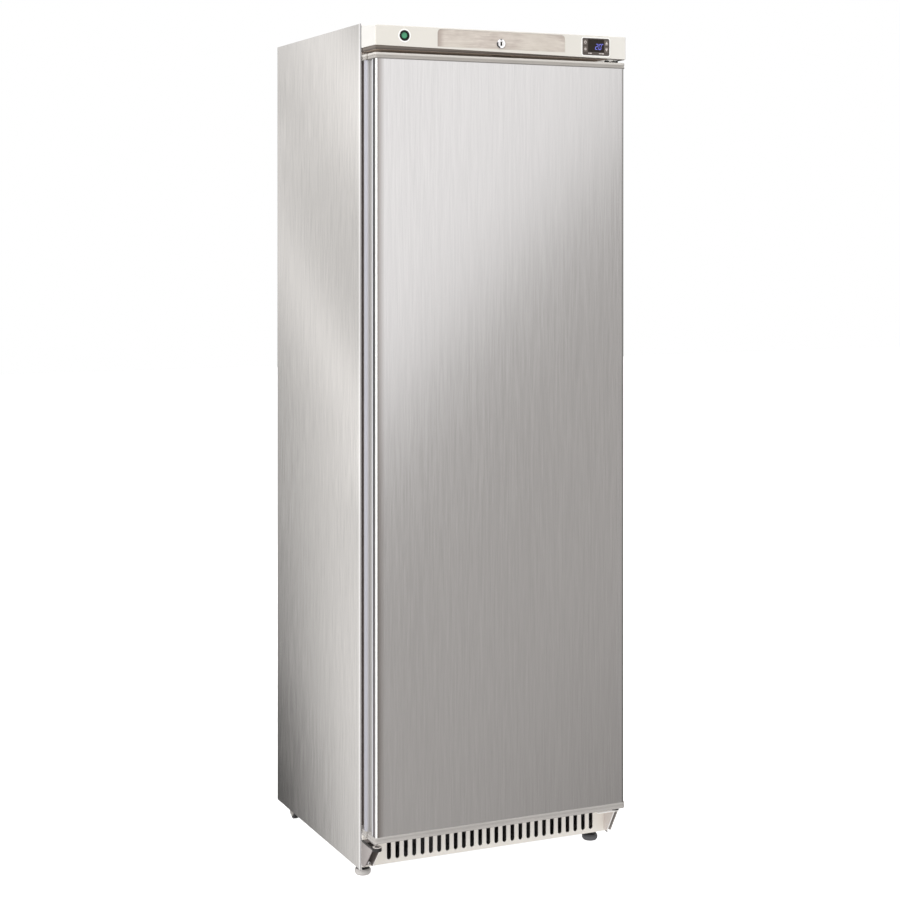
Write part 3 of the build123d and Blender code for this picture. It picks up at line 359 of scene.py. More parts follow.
def painted(name, base, rough=0.35, peel=260, bump=0.10, variation=0.025, coat=0.3):
    """Powder-coated sheet with a light orange peel."""
    m, b, n = new_material(name, coat=coat, coat_rough=0.25)
    c = n.coord()
    cloud = n.noise(n.mapping(scale=(5, 5, 5), vector=c), detail=2.0)
    skin = n.noise(n.mapping(scale=(peel, peel, peel), vector=c), detail=2.0)
    col = n.mix(n.remap(cloud, 0.3, 0.7), scaled(base, 1 - variation), scaled(base, 1 + variation * 0.5))
    n.link(col, b.inputs["Base Color"])
    n.link(n.remap(skin, 0.3, 0.7, rough - 0.04, rough + 0.05), b.inputs["Roughness"])
    n.link(n.bump(skin, bump, 0.0002), b.inputs["Normal"])
    return m


def galvanised(name, base, scale=45):
    """Hot-dip zinc with its crystal spangle."""
    m, b, n = new_material(name, metallic=1.0)
    c = n.coord()
    v = n.node("ShaderNodeTexVoronoi", feature="F1")
    v.inputs["Scale"].default_value = scale
    warp = n.noise(n.mapping(scale=(30, 30, 30), vector=c), detail=2.0)
    n.link(n.mapping(scale=(1, 1, 1), vector=c), v.inputs["Vector"])
    sep = n.node("ShaderNodeSeparateColor")
    n.link(v.outputs["Color"], sep.inputs[0])
    f = n.math("ADD", n.math("MULTIPLY", sep.outputs[0], 0.7), n.math("MULTIPLY", warp, 0.3))
    n.link(n.mix(n.remap(f, 0.1, 0.9), scaled(base, 0.82), scaled(base, 1.08)), b.inputs["Base Color"])
    n.link(n.remap(f, 0.1, 0.9, 0.34, 0.52), b.inputs["Roughness"])
    n.link(n.bump(warp, 0.1, 0.0001), b.inputs["Normal"])
    return m


def metal(name, base, rough=0.25, scratch=300, bump=0.06, contrast=0.06):
    """Pressed or plated metal with faint handling marks."""
    m, b, n = new_material(name, metallic=1.0)
    c = n.coord()
    marks = n.noise(n.mapping(scale=(scratch, scratch, scratch * 0.3), vector=c), detail=3.0)
    cloud = n.noise(n.mapping(scale=(30, 30, 30), vector=c), detail=2.0)
    n.link(n.mix(n.remap(cloud, 0.3, 0.7), scaled(base, 1 - contrast), scaled(base, 1 + contrast)), b.inputs["Base Color"])
    n.link(n.remap(marks, 0.3, 0.7, max(0.03, rough - 0.05), rough + 0.05), b.inputs["Roughness"])
    n.link(n.bump(marks, bump, 0.00008), b.inputs["Normal"])
    return m


def foam_material(name, base, corners=None):
    """Rigid foam; the door's core has its four inner corners in the colour of the moulded face they reach into."""
    m, b, n = new_material(name)
    c = n.coord()
    v = n.node("ShaderNodeTexVoronoi", feature="F1")
    v.inputs["Scale"].default_value = 450
    n.link(c, v.inputs["Vector"])
    cloud = n.noise(n.mapping(scale=(14, 14, 14), vector=c), detail=3.0)
    col = n.mix(n.remap(cloud, 0.3, 0.7), scaled(base, 0.9), base)
    if corners:
        o = n.xyz(c)
        across = n.remap(n.math("ABSOLUTE", o["X"]), 0.2230, 0.2232)
        along = n.remap(n.math("ABSOLUTE", n.math("SUBTRACT", o["Z"], 0.922)), 0.7470, 0.7472)
        inner = n.remap(o["Y"], -0.2352, -0.2350)
        col = n.mix(n.math("MULTIPLY", n.math("MULTIPLY", across, along), inner), col, corners)
    n.link(col, b.inputs["Base Color"])
    n.link(n.remap(cloud, 0.3, 0.7, 0.75, 0.92), b.inputs["Roughness"])
    n.link(n.bump(v.outputs["Distance"], 0.5, 0.001), b.inputs["Normal"])
    return m


def rubber(name, base, rough=0.62, emission=None):
    m = plastic(name, base, rough=rough, tex=1400, bump=0.15, variation=0.08, spec=0.35)
    if emission:
        b = m.node_tree.nodes["Principled BSDF"]
        b.inputs["Emission Color"].default_value = (*emission, 1.0)
        b.inputs["Emission Strength"].default_value = 1.0
    return m


def label_material(name):
    """Brushed plate with soft smudged marks across it, warmer at its left end."""
    m, b, n = new_material(name, metallic=0.25, spec=0.3)
    c = n.coord()
    marks = n.noise(n.mapping(scale=(26, 60, 95), vector=c), detail=4.0, rough=0.65)
    lines = n.noise(n.mapping(scale=(14, 900, 900), vector=c), detail=2.0)
    blot = n.noise(n.mapping(scale=(9, 9, 14), vector=c), detail=2.0)
    x = n.xyz(c)["X"]
    col = n.mix(n.remap(n.math("ADD", n.math("MULTIPLY", marks, 0.55), n.math("MULTIPLY", lines, 0.45)), 0.36, 0.64), srgb(184, 172, 163), srgb(221, 213, 204))
    col = n.mix(n.remap(blot, 0.42, 0.7, 0.0, 0.6, smooth=True), col, srgb(216, 209, 198))
    col = n.mix(n.remap(x, -0.158, -0.138, 0.9, 0.0, smooth=True), col, srgb(172, 159, 150))
    n.link(col, b.inputs["Base Color"])
    n.link(n.remap(lines, 0.3, 0.7, 0.42, 0.55), b.inputs["Roughness"])
    n.link(n.bump(lines, 0.15, 0.00005), b.inputs["Normal"])
    return m


def tray_material(name):
    """Tray under the header: dark taupe lip painted darker towards its lower edge as painted shade; its downward faces
    are painted paler and glow faintly as painted light.
    """
    m, b, n = new_material(name)
    c = n.coord()
    z = n.xyz(c)["Z"]
    cloud = n.noise(n.mapping(scale=(8, 8, 8), vector=c), detail=2.0)
    geo = n.node("ShaderNodeNewGeometry")
    nz = n.xyz(geo.outputs["Normal"])["Z"]
    # painted shade: the lip darkens towards its lower edge
    lip = n.mix(n.remap(z, 1.7505, 1.7545, 0.0, 1.0, smooth=True), srgb(74, 66, 60), srgb(112, 103, 95))
    # painted light: downward faces paler
    col = n.mix(n.remap(nz, -0.7, -0.4, 1.0, 0.0), lip, srgb(200, 184, 170))
    col = n.mix(n.remap(cloud, 0.3, 0.7, 0.0, 0.06), col, srgb(120, 110, 102))
    n.link(col, b.inputs["Base Color"])
    n.link(n.remap(cloud, 0.3, 0.7, 0.48, 0.58), b.inputs["Roughness"])
    # painted light: downward faces glow
    n.link(n.mix(n.remap(nz, -0.9, -0.6, 1.0, 0.0), (0.0, 0.0, 0.0), (0.030, 0.025, 0.021)), b.inputs["Emission Color"])
    b.inputs["Emission Strength"].default_value = 1.0
    return m


def channel_material(name):
    """Grey-pink bracket with painted light: painted shade inside its channel, near-black towards the top, on its crest
    and inside the eye; painted highlights on its right plate and the eye's top; paler towards its front.
    """
    m, b, n = new_material(name, coat=0.1, coat_rough=0.25)
    c = n.coord()
    o = n.xyz(c)
    skin = n.noise(n.mapping(scale=(260, 260, 260), vector=c), detail=2.0)
    inside = n.math("MULTIPLY", n.remap(o["X"], -0.2952, -0.2950, 0.0, 1.0), n.remap(o["X"], -0.2785, -0.2783, 1.0, 0.0))
    inside = n.math("MULTIPLY", inside, n.remap(o["Z"], 0.0812, 0.0818, 1.0, 0.0))
    channel = n.math("MULTIPLY", inside, n.remap(o["Z"], 0.0800, 0.0700, 0.03, 1.0))
    crest =n.math("MULTIPLY", n.remap(o["X"], -0.2952, -0.2950, 1.0, 0.0), n.remap(o["Z"], 0.0836, 0.0842, 0.0, 1.0))
    inside = n.math("MAXIMUM", inside, crest)
    ex = n.math("SUBTRACT", o["X"], -0.2865)
    ey = n.math("SUBTRACT", o["Y"], -0.2825)
    er = n.math("SQRT", n.math("ADD", n.math("MULTIPLY", ex, ex), n.math("MULTIPLY", ey, ey)))
    ring = n.remap(er, 0.0101, 0.0099, 0.0, 1.0)
    top = n.math("MULTIPLY", ring, n.remap(o["Z"], 0.0893, 0.0897, 0.0, 1.0))
    inside = n.math("MAXIMUM", inside, n.math("MULTIPLY", ring, n.remap(o["Z"], 0.0893, 0.0897, 1.0, 0.0)))
    col = n.mix(n.remap(skin, 0.3, 0.7), srgb(150, 143, 141), srgb(155, 148, 146))
    # painted light: paler towards the front
    col = n.mix(n.remap(o["Y"], -0.2300, -0.2780, 0.0, 1.0), col, srgb(176, 169, 167))
    # painted highlight on the right plate
    col = n.mix(n.remap(o["X"], -0.2786, -0.2784, 0.0, 1.0), col, srgb(248, 244, 240))
    # painted shade: near-black in the channel, on the crest and inside the eye
    col = n.mix(inside, col, srgb(24, 22, 21))
    # painted shade in the channel, greyer lower down
    col = n.mix(channel, col, srgb(128, 120, 117))
    # painted highlight on the top of the eye
    col = n.mix(top, col, srgb(214, 208, 204))
    n.link(col, b.inputs["Base Color"])
    n.link(n.remap(skin, 0.3, 0.7, 0.38, 0.46), b.inputs["Roughness"])
    n.link(n.bump(skin, 0.10, 0.0002), b.inputs["Normal"])
    return m


def gusset_material(name):
    """Cream bracket with painted light: painted highlights on its slanted edge and top plate, painted shade between its
    side plates and on the right plate, and a top plate that glows.
    """
    m, b, n = new_material(name, coat=0.15, coat_rough=0.25)
    c = n.coord()
    o = n.xyz(c)
    skin = n.noise(n.mapping(scale=(260, 260, 260), vector=c), detail=2.0)
    col = n.mix(n.remap(skin, 0.3, 0.7), srgb(226, 218, 213), srgb(232, 224, 219))
    # painted highlight on the slanted edge
    edge = n.math("MULTIPLY", n.remap(o["X"], 0.2876, 0.2878, 0.0, 1.0), n.remap(o["X"], 0.2904, 0.2906, 1.0, 0.0))
    col = n.mix(edge, col, srgb(250, 247, 243))
    # painted shade between the side plates
    between = n.math("MULTIPLY", n.remap(o["X"], 0.2905, 0.2907, 0.0, 1.0), n.remap(o["X"], 0.2967, 0.2969, 1.0, 0.0))
    col = n.mix(between, col, srgb(118, 112, 109))
    # painted shade on the right plate
    col = n.mix(n.remap(o["X"], 0.2967, 0.2969, 0.0, 1.0), col, srgb(206, 200, 196))
    # painted highlight and glow on the top plate
    plate = n.remap(o["Z"], 0.0883, 0.0887, 0.0, 1.0)
    n.link(n.mix(plate, col, srgb(250, 247, 243)), b.inputs["Base Color"])
    n.link(n.mix(plate, (0.0, 0.0, 0.0), (0.22, 0.215, 0.21)), b.inputs["Emission Color"])
    b.inputs["Emission Strength"].default_value = 1.0
    n.link(n.remap(skin, 0.3, 0.7, 0.38, 0.46), b.inputs["Roughness"])
    n.link(n.bump(skin, 0.10, 0.0002), b.inputs["Normal"])
    return m


def hinge_plate_material(name):
    """Pale plated hinge plate; its underside glows: painted light."""
    m, b, n = new_material(name, metallic=0.15, emission=1.0)
    c = n.coord()
    marks = n.noise(n.mapping(scale=(300, 300, 90), vector=c), detail=3.0)
    geo = n.node("ShaderNodeNewGeometry")
    nz = n.xyz(geo.outputs["Normal"])["Z"]
    n.link(n.mix(n.remap(marks, 0.3, 0.7), (0.78, 0.77, 0.75), (0.84, 0.83, 0.81)), b.inputs["Base Color"])
    # painted light: downward faces glow
    n.link(n.mix(n.remap(nz, -0.9, -0.6, 1.0, 0.0), (0.0, 0.0, 0.0), (0.30, 0.29, 0.28)), b.inputs["Emission Color"])
    n.link(n.remap(marks, 0.3, 0.7, 0.30, 0.42), b.inputs["Roughness"])
    return m


def screw_material(name):
    """Plated screws; the two in the cream bracket are painted over with it."""
    m, b, n = new_material(name)
    c = n.coord()
    o = n.xyz(c)
    marks = n.noise(n.mapping(scale=(300, 300, 90), vector=c), detail=3.0)
    paint = n.math("MULTIPLY", n.remap(o["X"], 0.2869, 0.2871, 0.0, 1.0), n.remap(o["Y"], -0.10, -0.09, 1.0, 0.0))
    col = n.mix(n.remap(marks, 0.3, 0.7), (0.84, 0.84, 0.85), (0.88, 0.88, 0.89))
    n.link(n.mix(paint, col, srgb(214, 207, 202)), b.inputs["Base Color"])
    n.link(n.math("SUBTRACT", 1.0, paint), b.inputs["Metallic"])
    n.link(n.remap(marks, 0.3, 0.7, 0.06, 0.16), b.inputs["Roughness"])
    return m


def foot_material(name, base, rough):
    """Levelling foot: moulded pad; above it, the plated thread included, painted near-black: painted shade."""
    m, b, n = new_material(name, spec=0.4)
    c = n.coord()
    z = n.xyz(c)["Z"]
    cloud = n.noise(n.mapping(scale=(30, 30, 30), vector=c), detail=2.0)
    speck = n.noise(n.mapping(scale=(1100, 1100, 1100), vector=c), detail=1.0)
    col = n.mix(n.remap(cloud, 0.3, 0.7), scaled(base, 0.95), scaled(base, 1.03))
    # painted shade above the pad
    col = n.mix(n.remap(z, 0.0128, 0.0133, 0.0, 1.0), col, srgb(44, 42, 42))
    n.link(col, b.inputs["Base Color"])
    n.link(n.remap(speck, 0.3, 0.7, rough - 0.04, rough + 0.04), b.inputs["Roughness"])
    n.link(n.bump(speck, 0.1, 0.0001), b.inputs["Normal"])
    return m


def plug_material(name):
    """Plated plug; its key slot is painted near-black, deeper in and round the slot: painted shade."""
    m, b, n = new_material(name, metallic=0.85)
    c = n.coord()
    o = n.xyz(c)
    marks = n.noise(n.mapping(scale=(300, 300, 90), vector=c), detail=3.0)
    # painted shade in the key slot
    deep = n.remap(o["Y"], -0.3014, -0.3009, 0.0, 1.0)
    near = n.math("MULTIPLY", n.remap(n.math("ABSOLUTE", n.math("SUBTRACT", o["X"], -0.0077)), 0.0017, 0.0021, 1.0, 0.0), n.remap(n.math("ABSOLUTE", n.math("SUBTRACT", o["Z"], 1.7720)), 0.0042, 0.0047, 1.0, 0.0))
    deep = n.math("MAXIMUM", deep, near)
    col = n.mix(n.remap(marks, 0.3, 0.7), (0.86, 0.855, 0.85), (0.92, 0.915, 0.91))
    n.link(n.mix(deep, col, (0.012, 0.011, 0.010)), b.inputs["Base Color"])
    n.link(n.remap(marks, 0.3, 0.7, 0.16, 0.26), b.inputs["Roughness"])
    return m


def bezel_material(name):
    """Chrome bezel with painted reflection: near-black patches on its rounded rim at the lower left and across its
    crown.
    """
    m, b, n = new_material(name, metallic=1.0)
    c = n.coord()
    o = n.xyz(c)
    dx = n.math("SUBTRACT", o["X"], -0.0077)
    dz = n.math("SUBTRACT", o["Z"], 1.7720)
    r = n.math("SQRT", n.math("ADD", n.math("MULTIPLY", dx, dx), n.math("MULTIPLY", dz, dz)))
    ang = n.math("ARCTAN2", dz, dx)
    patch = n.noise(n.mapping(scale=(420, 420, 420), vector=c), detail=1.0)
    rim = n.remap(r, 0.0068, 0.0076, 0.0, 1.0)
    toward = n.math("DIVIDE", n.math("ADD", n.math("MULTIPLY", dx, -0.906), n.math("MULTIPLY", dz, -0.423)), n.math("MAXIMUM", r, 0.0001))
    side = n.remap(toward, 0.60, 0.78, 0.0, 1.0)
    crown = n.math("MULTIPLY", n.remap(ang, 1.25, 1.45, 0.0, 0.75), n.remap(ang, 1.75, 1.95, 1.0, 0.0))
    # painted reflection: dark patches on the rim
    dark = n.math("MULTIPLY", n.math("MAXIMUM", n.math("MULTIPLY", side, n.remap(patch, 0.40, 0.55, 0.75, 1.0)), crown), rim)
    n.link(n.mix(dark, (0.92, 0.92, 0.93), (0.015, 0.014, 0.014)), b.inputs["Base Color"])
    n.link(n.remap(patch, 0.3, 0.7, 0.08, 0.16), b.inputs["Roughness"])
    return m


M = {
    "stainless": brushed("stainless_side", (0.69, 0.674, 0.662), rough=0.16, contrast=0.115, bump=0.03, tint=side_fold_painted_light, coarse=0.5),
    "stainless_rail": brushed("stainless_rail", (0.62, 0.61, 0.60), rough=0.28),
    "stainless_door": brushed("stainless_door", (0.66, 0.655, 0.65), rough=0.14, contrast=0.06, bump=0.03, tint=door_edge_painted_shade),
    "stainless_top": brushed("stainless_top", (0.66, 0.65, 0.635), grain="Y"),
    "galvanised": galvanised("galvanised_sheet", (0.60, 0.61, 0.61)),
    "zinc": metal("zinc_plate", (0.62, 0.60, 0.575), rough=0.33),
    "cream_paint": painted("cream_powder_coat", srgb(254, 249, 241), variation=0.012),
    "taupe": tray_material("taupe_underside"),
    "bracket_pink": channel_material("bracket_grey_pink"),
    "bracket_cream": gusset_material("bracket_cream"),
    "hinge_plate": hinge_plate_material("hinge_plate"),
    "screw": screw_material("screw_plated"),
    "liner": plastic("liner_white", srgb(224, 225, 223), rough=0.28, tex=220, bump=0.03, coat=0.2),
    "foam": foam_material("foam_core", srgb(232, 215, 165)),
    "foam_door": foam_material("foam_door_core", srgb(232, 215, 165), corners=srgb(224, 225, 223)),
    "header": header_material("header_off_white"),
    "label": label_material("label_brushed"),
    "cap": cap_plastic("cap_grey"),
    "profile": grip_material("grip_extrusion"),
    # the gasket glows faintly: painted light lifting the shade in the gap beside the door
    "gasket": rubber("gasket_grey", srgb(120, 117, 117), emission=(0.045, 0.043, 0.043)),
    "chrome": metal("chrome", (0.86, 0.86, 0.87), rough=0.08, contrast=0.02),
    "lock": plug_material("lock_plug"),
    "lock_chrome": bezel_material("lock_chrome"),
    # dark strips standing in for the shadow between the header and the side sheets
    "gap_shade_strip": rubber("header_gap_shade", srgb(84, 84, 88), rough=0.6),
    "collar": plastic("moulded_collar", srgb(251, 250, 247), rough=0.4, tex=1100, bump=0.03, variation=0.005),
    "black": plastic("black_plastic", srgb(13, 13, 14), rough=0.45, variation=0.1, spec=0.35),
    "dark_grey": plastic("dark_grey_plastic", srgb(80, 72, 67), rough=0.4),
    "pale_print": plastic("pale_print", srgb(214, 206, 202), rough=0.5),
    # near-black washers: partly painted shade under the door caps
    "washer": plastic("washer_black", srgb(16, 15, 15), rough=0.4),
    "rim": painted("slot_rim", srgb(254, 251, 246), rough=0.35),
    # near-black inlay: painted shade in the screw recesses
    "recess": plastic("screw_recess", srgb(28, 27, 27), rough=0.5),
    "window": plastic("display_window", srgb(44, 38, 34), rough=0.3, tex=60, bump=0.01, spec=0.15),
    "green": plastic("green_lens", srgb(64, 142, 104), rough=0.3, coat=0.1, tex=500),
    "key": plastic("key_grey", srgb(106, 97, 91), rough=0.45),
    "bush": plastic("bush_nylon", srgb(225, 224, 220), rough=0.4),
    "foot_light": foot_material("foot_light", srgb(198, 194, 191), 0.45),
    "foot_dark": foot_material("foot_dark", srgb(98, 98, 101), 0.5),
    "wheel": plastic("roller_black", srgb(34, 34, 35), rough=0.4),
    "wire": painted("white_wire", srgb(230, 230, 227), rough=0.3, peel=500, coat=0.4),
    "evaporator": brushed("evaporator_plate", (0.72, 0.73, 0.74), grain="X", rough=0.36, aniso=0.2, contrast=0.04),
    "white": plastic("white_plastic", srgb(238, 238, 236), rough=0.35),
    "lens": plastic("lamp_lens", srgb(246, 246, 242), rough=0.25, tex=700, bump=0.2, coat=0.3),
    "black_steel": painted("black_enamel", srgb(22, 22, 23), rough=0.28, coat=0.5),
    "black_rubber": rubber("black_rubber", srgb(26, 26, 26)),
    "copper": metal("copper_tube", (0.80, 0.42, 0.26), rough=0.28, contrast=0.12),
    "fins": metal("condenser_fins", (0.62, 0.63, 0.64), rough=0.35),
    "motor": painted("motor_grey", srgb(92, 95, 98), rough=0.45),
}

FINISH = {
    "side_panel_left": "stainless", "side_panel_right": "stainless", "top_panel": "stainless_top", "back_panel": "galvanised",
    "front_rails": "stainless_rail", "inner_liner": "liner", "compartment_sheet": "galvanised", "wall_insulation": "foam",
    "base_plate": "galvanised", "kick_grille": "cream_paint", "roller_brackets": "zinc", "rear_roller_left": "wheel",
    "rear_roller_right": "wheel", "levelling_foot_left": "foot_light", "levelling_foot_right": "foot_dark",
    "lower_hinge_bracket": "bracket_cream", "spare_hinge_bracket": "bracket_pink", "top_hinge_bracket": "hinge_plate", "header_cover": "header",
    "header_base": "taupe", "label_plate": "label", "lock_body": "lock_chrome", "lock_plug": "lock", "switch_body": "black",
    "switch_rocker": "green", "controller_body": "dark_grey", "display_window": "window", "button_set": "key",
    "button_mode": "key", "button_up": "key", "button_down": "key", "door_grip_profile": "profile", "door_skin": "stainless_door",
    "door_insulation": "foam_door", "door_inner_panel": "liner", "door_gasket": "gasket", "door_top_cap": "cap",
    "door_bottom_cap": "cap", "door_bushes": "bush", "shelf_runners": "white", "wire_shelf_1": "wire", "wire_shelf_2": "wire",
    "wire_shelf_3": "wire", "wire_shelf_4": "wire", "evaporator_plate": "evaporator", "fan_housing": "white",
    "evaporator_fan_blades": "white", "condenser_fan_blades": "black", "fan_motors": "motor", "interior_lamp": "lens",
    "temperature_probe": "black", "compressor": "black_steel", "compressor_grommets": "black_rubber", "condenser_coil": "fins",
    "condenser_fan_shroud": "black_steel", "refrigerant_pipes": "copper", "rear_cover": "galvanised", "power_inlet": "black",
    "condensate_drain": "black", "screws": "screw",
}
for node_name, obj in NODES.items():
    mat = M[FINISH[node_name]]
    obj.data.materials.clear()
    obj.data.materials.append(mat)


# ------------------------------------------------------------------ mesh helpers
def add_object(name, bm, material, body, smooth=None):
    mesh = bpy.data.meshes.new(name)
    bmesh.ops.recalc_face_normals(bm, faces=bm.faces)
    bm.to_mesh(mesh)
    bm.free()
    obj = bpy.data.objects.new(name, mesh)
    scene.collection.objects.link(obj)
    mesh.materials.append(M[material])
    if smooth is not None:
        for p in mesh.polygons:
            p.use_smooth = True
        mesh.set_sharp_from_angle(angle=math.radians(smooth))
    if body:
        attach(obj, body)
    return obj


def prism(bm, pts, d0, d1):
    """Extruded outline facing the viewer: pts are (x, z) in millimetres, from depth d0 to d1."""
    a = [bm.verts.new(P(x, d0, z)) for x, z in pts]
    b = [bm.verts.new(P(x, d1, z)) for x, z in pts]
    bm.faces.new(a)
    bm.faces.new(list(reversed(b)))
    k = len(pts)
    for i in range(k):
        j = (i + 1) % k
        bm.faces.new((a[i], b[i], b[j], a[j]))


# ------------------------------------------------------------------ display digits
WIN_FACE = -79.62
SEG = {"2": "abged", "0": "abcdef"}


def seven_segments(bm, ch, x0, z0, w, h, t, d, slant=0.14):
    """Classic seven-segment numeral, each segment a bevelled bar."""
    def sl(x, z):
        return (x + (z - z0) * slant, z)

    def hbar(cx, cz, length):
        k = t / 2
        return [sl(cx - length / 2, cz), sl(cx - length / 2 + k, cz + k), sl(cx + length / 2 - k, cz + k), sl(cx + length / 2, cz), sl(cx + length / 2 - k, cz - k), sl(cx - length / 2 + k, cz - k)]

    def vbar(cx, cz, length):
        k = t / 2
        return [sl(cx, cz - length / 2), sl(cx - k, cz - length / 2 + k), sl(cx - k, cz + length / 2 - k), sl(cx, cz + length / 2), sl(cx + k, cz + length / 2 - k), sl(cx + k, cz - length / 2 + k)]
    g = 0.25
    half = h / 2
    bars = {
        "a": hbar(x0 + w / 2, z0 + h, w - 2 * g), "g": hbar(x0 + w / 2, z0 + half, w - 2 * g), "d": hbar(x0 + w / 2, z0, w - 2 * g),
        "f": vbar(x0, z0 + 1.5 * half, half - 2 * g), "b": vbar(x0 + w, z0 + 1.5 * half, half - 2 * g),
        "e": vbar(x0, z0 + 0.5 * half, half - 2 * g), "c": vbar(x0 + w, z0 + 0.5 * half, half - 2 * g),
    }
    for s in SEG[ch]:
        prism(bm, bars[s], d, d - 0.05)


def ring_outline(bm, x, z, ro, ri, d0, d1, seg=28):
    """Flat annulus facing the viewer."""
    loops = []
    for r, d in ((ro, d0), (ro, d1), (ri, d1), (ri, d0)):
        loops.append([bm.verts.new(P(x + r * math.cos(2 * math.pi * k / seg), d, z + r * math.sin(2 * math.pi * k / seg))) for k in range(seg)])
    for a in range(4):
        b = (a + 1) % 4
        for k in range(seg):
            j = (k + 1) % seg
            bm.faces.new((loops[a][k], loops[a][j], loops[b][j], loops[b][k]))


def ring_up(bm, x, d, z0, z1, ro, ri, soft=0.25, seg=48):
    """Upright washer with softened rims."""
    prof = [(ri, z0), (ro - soft, z0), (ro, z0 + soft), (ro, z1 - soft), (ro - soft, z1), (ri, z1)]
    loops = []
    for r, z in prof:
        loops.append([bm.verts.new(P(x + r * math.cos(2 * math.pi * k / seg), d + r * math.sin(2 * math.pi * k / seg), z)) for k in range(seg)])
    for a in range(len(prof)):
        b = (a + 1) % len(prof)
        for k in range(seg):
            j = (k + 1) % seg
            bm.faces.new((loops[a][k], loops[a][j], loops[b][j], loops[b][k]))


def bar(bm, x0, x1, z0, z1, d0, d1, c=0.3):
    """Small plate with clipped corners, facing the viewer."""
    prism(bm, [(x0 + c, z0), (x1 - c, z0), (x1, z0 + c), (x1, z1 - c), (x1 - c, z1), (x0 + c, z1), (x0, z1 - c), (x0, z0 + c)], d0, d1)


M["digit"], _b, _n = new_material("display_digit", emission_color=(0.17, 0.19, 0.68), emission=1.0, roughness=0.4)
_c = _n.coord()
_n.link(_n.mix(_n.remap(_n.noise(_n.mapping(scale=(800, 800, 800), vector=_c)), 0.3, 0.7), srgb(80, 84, 200), srgb(120, 120, 220)), _b.inputs["Base Color"])
bm = bmesh.new()
seven_segments(bm, "2", 221.8, 1769.6, 5.5, 11.6, 0.95, WIN_FACE)
seven_segments(bm, "0", 230.2, 1769.6, 5.3, 11.6, 0.95, WIN_FACE)
ring_outline(bm, 239.9, 1781.2, 1.2, 0.55, WIN_FACE, WIN_FACE - 0.05)
add_object("display_digits", bm, "digit", "cabinet")

# marks on the controller: plain pictograms on the keys, lamps and bars on the frame
KEYS = {"button_set": (196.9, 1784.0, "set_key"), "button_mode": (196.9, 1769.5, "mode_key"), "button_up": (249.9, 1784.0, "up_key"), "button_down": (249.9, 1769.5, "down_key")}
KEY_FACE = -80.02
bm = bmesh.new()
kx, kz, _ = KEYS["button_set"]
ring_outline(bm, kx, kz + 0.4, 3.1, 2.1, KEY_FACE, KEY_FACE - 0.06)
bar(bm, kx - 0.5, kx + 0.5, kz + 1.0, kz + 4.8, KEY_FACE, KEY_FACE - 0.06, 0.2)
add_object("set_key_mark", bm, "pale_print", "set_key")
bm = bmesh.new()
kx, kz, _ = KEYS["button_mode"]
for k in range(3):
    a = math.radians(60 * k + 30)
    ux, uz = math.cos(a), math.sin(a)
    w = 0.42
    prism(bm, [(kx - ux * 3.6 - uz * w, kz - uz * 3.6 + ux * w), (kx - ux * 3.6 + uz * w, kz - uz * 3.6 - ux * w), (kx + ux * 3.6 + uz * w, kz + uz * 3.6 - ux * w), (kx + ux * 3.6 - uz * w, kz + uz * 3.6 + ux * w)], KEY_FACE - 0.01 * k, KEY_FACE - 0.06 - 0.01 * k)
add_object("mode_key_mark", bm, "pale_print", "mode_key")
for nm, up in (("button_up", 1), ("button_down", -1)):
    kx, kz, body = KEYS[nm]
    bm = bmesh.new()
    prism(bm, [(kx - 3.2, kz - up * 1.9), (kx + 3.2, kz - up * 1.9), (kx, kz + up * 3.2)], KEY_FACE, KEY_FACE - 0.06)
    bar(bm, kx - 2.6, kx + 2.6, kz - up * 3.4 - 0.4, kz - up * 3.4 + 0.4, KEY_FACE, KEY_FACE - 0.06, 0.2)
    add_object(body + "_mark", bm, "pale_print", body)
bm = bmesh.new()
for x0, x1 in ((204.5, 206.4), (207.4, 213.0), (231.0, 235.6), (236.6, 243.0)):
    bar(bm, x0, x1, 1759.6, 1761.7, -79.82, -79.9, 0.3)
add_object("frame_marks", bm, "pale_print", "cabinet")

# ------------------------------------------------------------------ small hardware
# hinge washers: real parts, made near-black to stand in for the shadow under the door caps: painted shade
bm = bmesh.new()
ring_up(bm, 290.0, -47.0, 90.52, 93.5, 8.3, 6.15)
ring_up(bm, 290.0, -47.0, 1745.9, 1748.9, 6.5, 5.1)
ring_up(bm, 268.0, -49.0, 1745.9, 1748.9, 5.2, 4.1)
add_object("hinge_washers", bm, "washer", "cabinet", smooth=35)


def cross(bm, x, z, d, s, w, out, depth=0.07):
    """Cross recess of a screw head, a near-black inlay just proud of it standing in for the shade in the recess."""
    pts = [(-w, -s), (w, -s), (w, -w), (s, -w), (s, w), (w, w), (w, s), (-w, s), (-w, w), (-s, w), (-s, -w), (-w, -w)]
    prism(bm, [(x + a, z + b) for a, b in pts], d, d + out * depth)


bm = bmesh.new()
for z in (40.0, 70.0):
    cross(bm, -283.5, z, -10.7, 2.1, 0.55, -1)
for x in (-286.0, 0.0, 286.0):
    for z in (41.0, 284.0):
        cross(bm, x, z, 525.0, 1.9, 0.5, 1)
add_object("screw_recesses", bm, "recess", "cabinet")

# dark strips in the gap between the header and the side sheets, standing in for the shadow there: painted shade
bm = bmesh.new()
for side in (-1, 1):
    x0, x1 = sorted((side * 299.95, side * 299.45))
    prism(bm, [(x0, 1757.8 if side < 0 else 1750.8), (x1, 1757.8 if side < 0 else 1750.8), (x1, 1806.0), (x0, 1806.0)], -4.2, -1.0)
add_object("header_gap_shade_strips", bm, "gap_shade_strip", "cabinet")


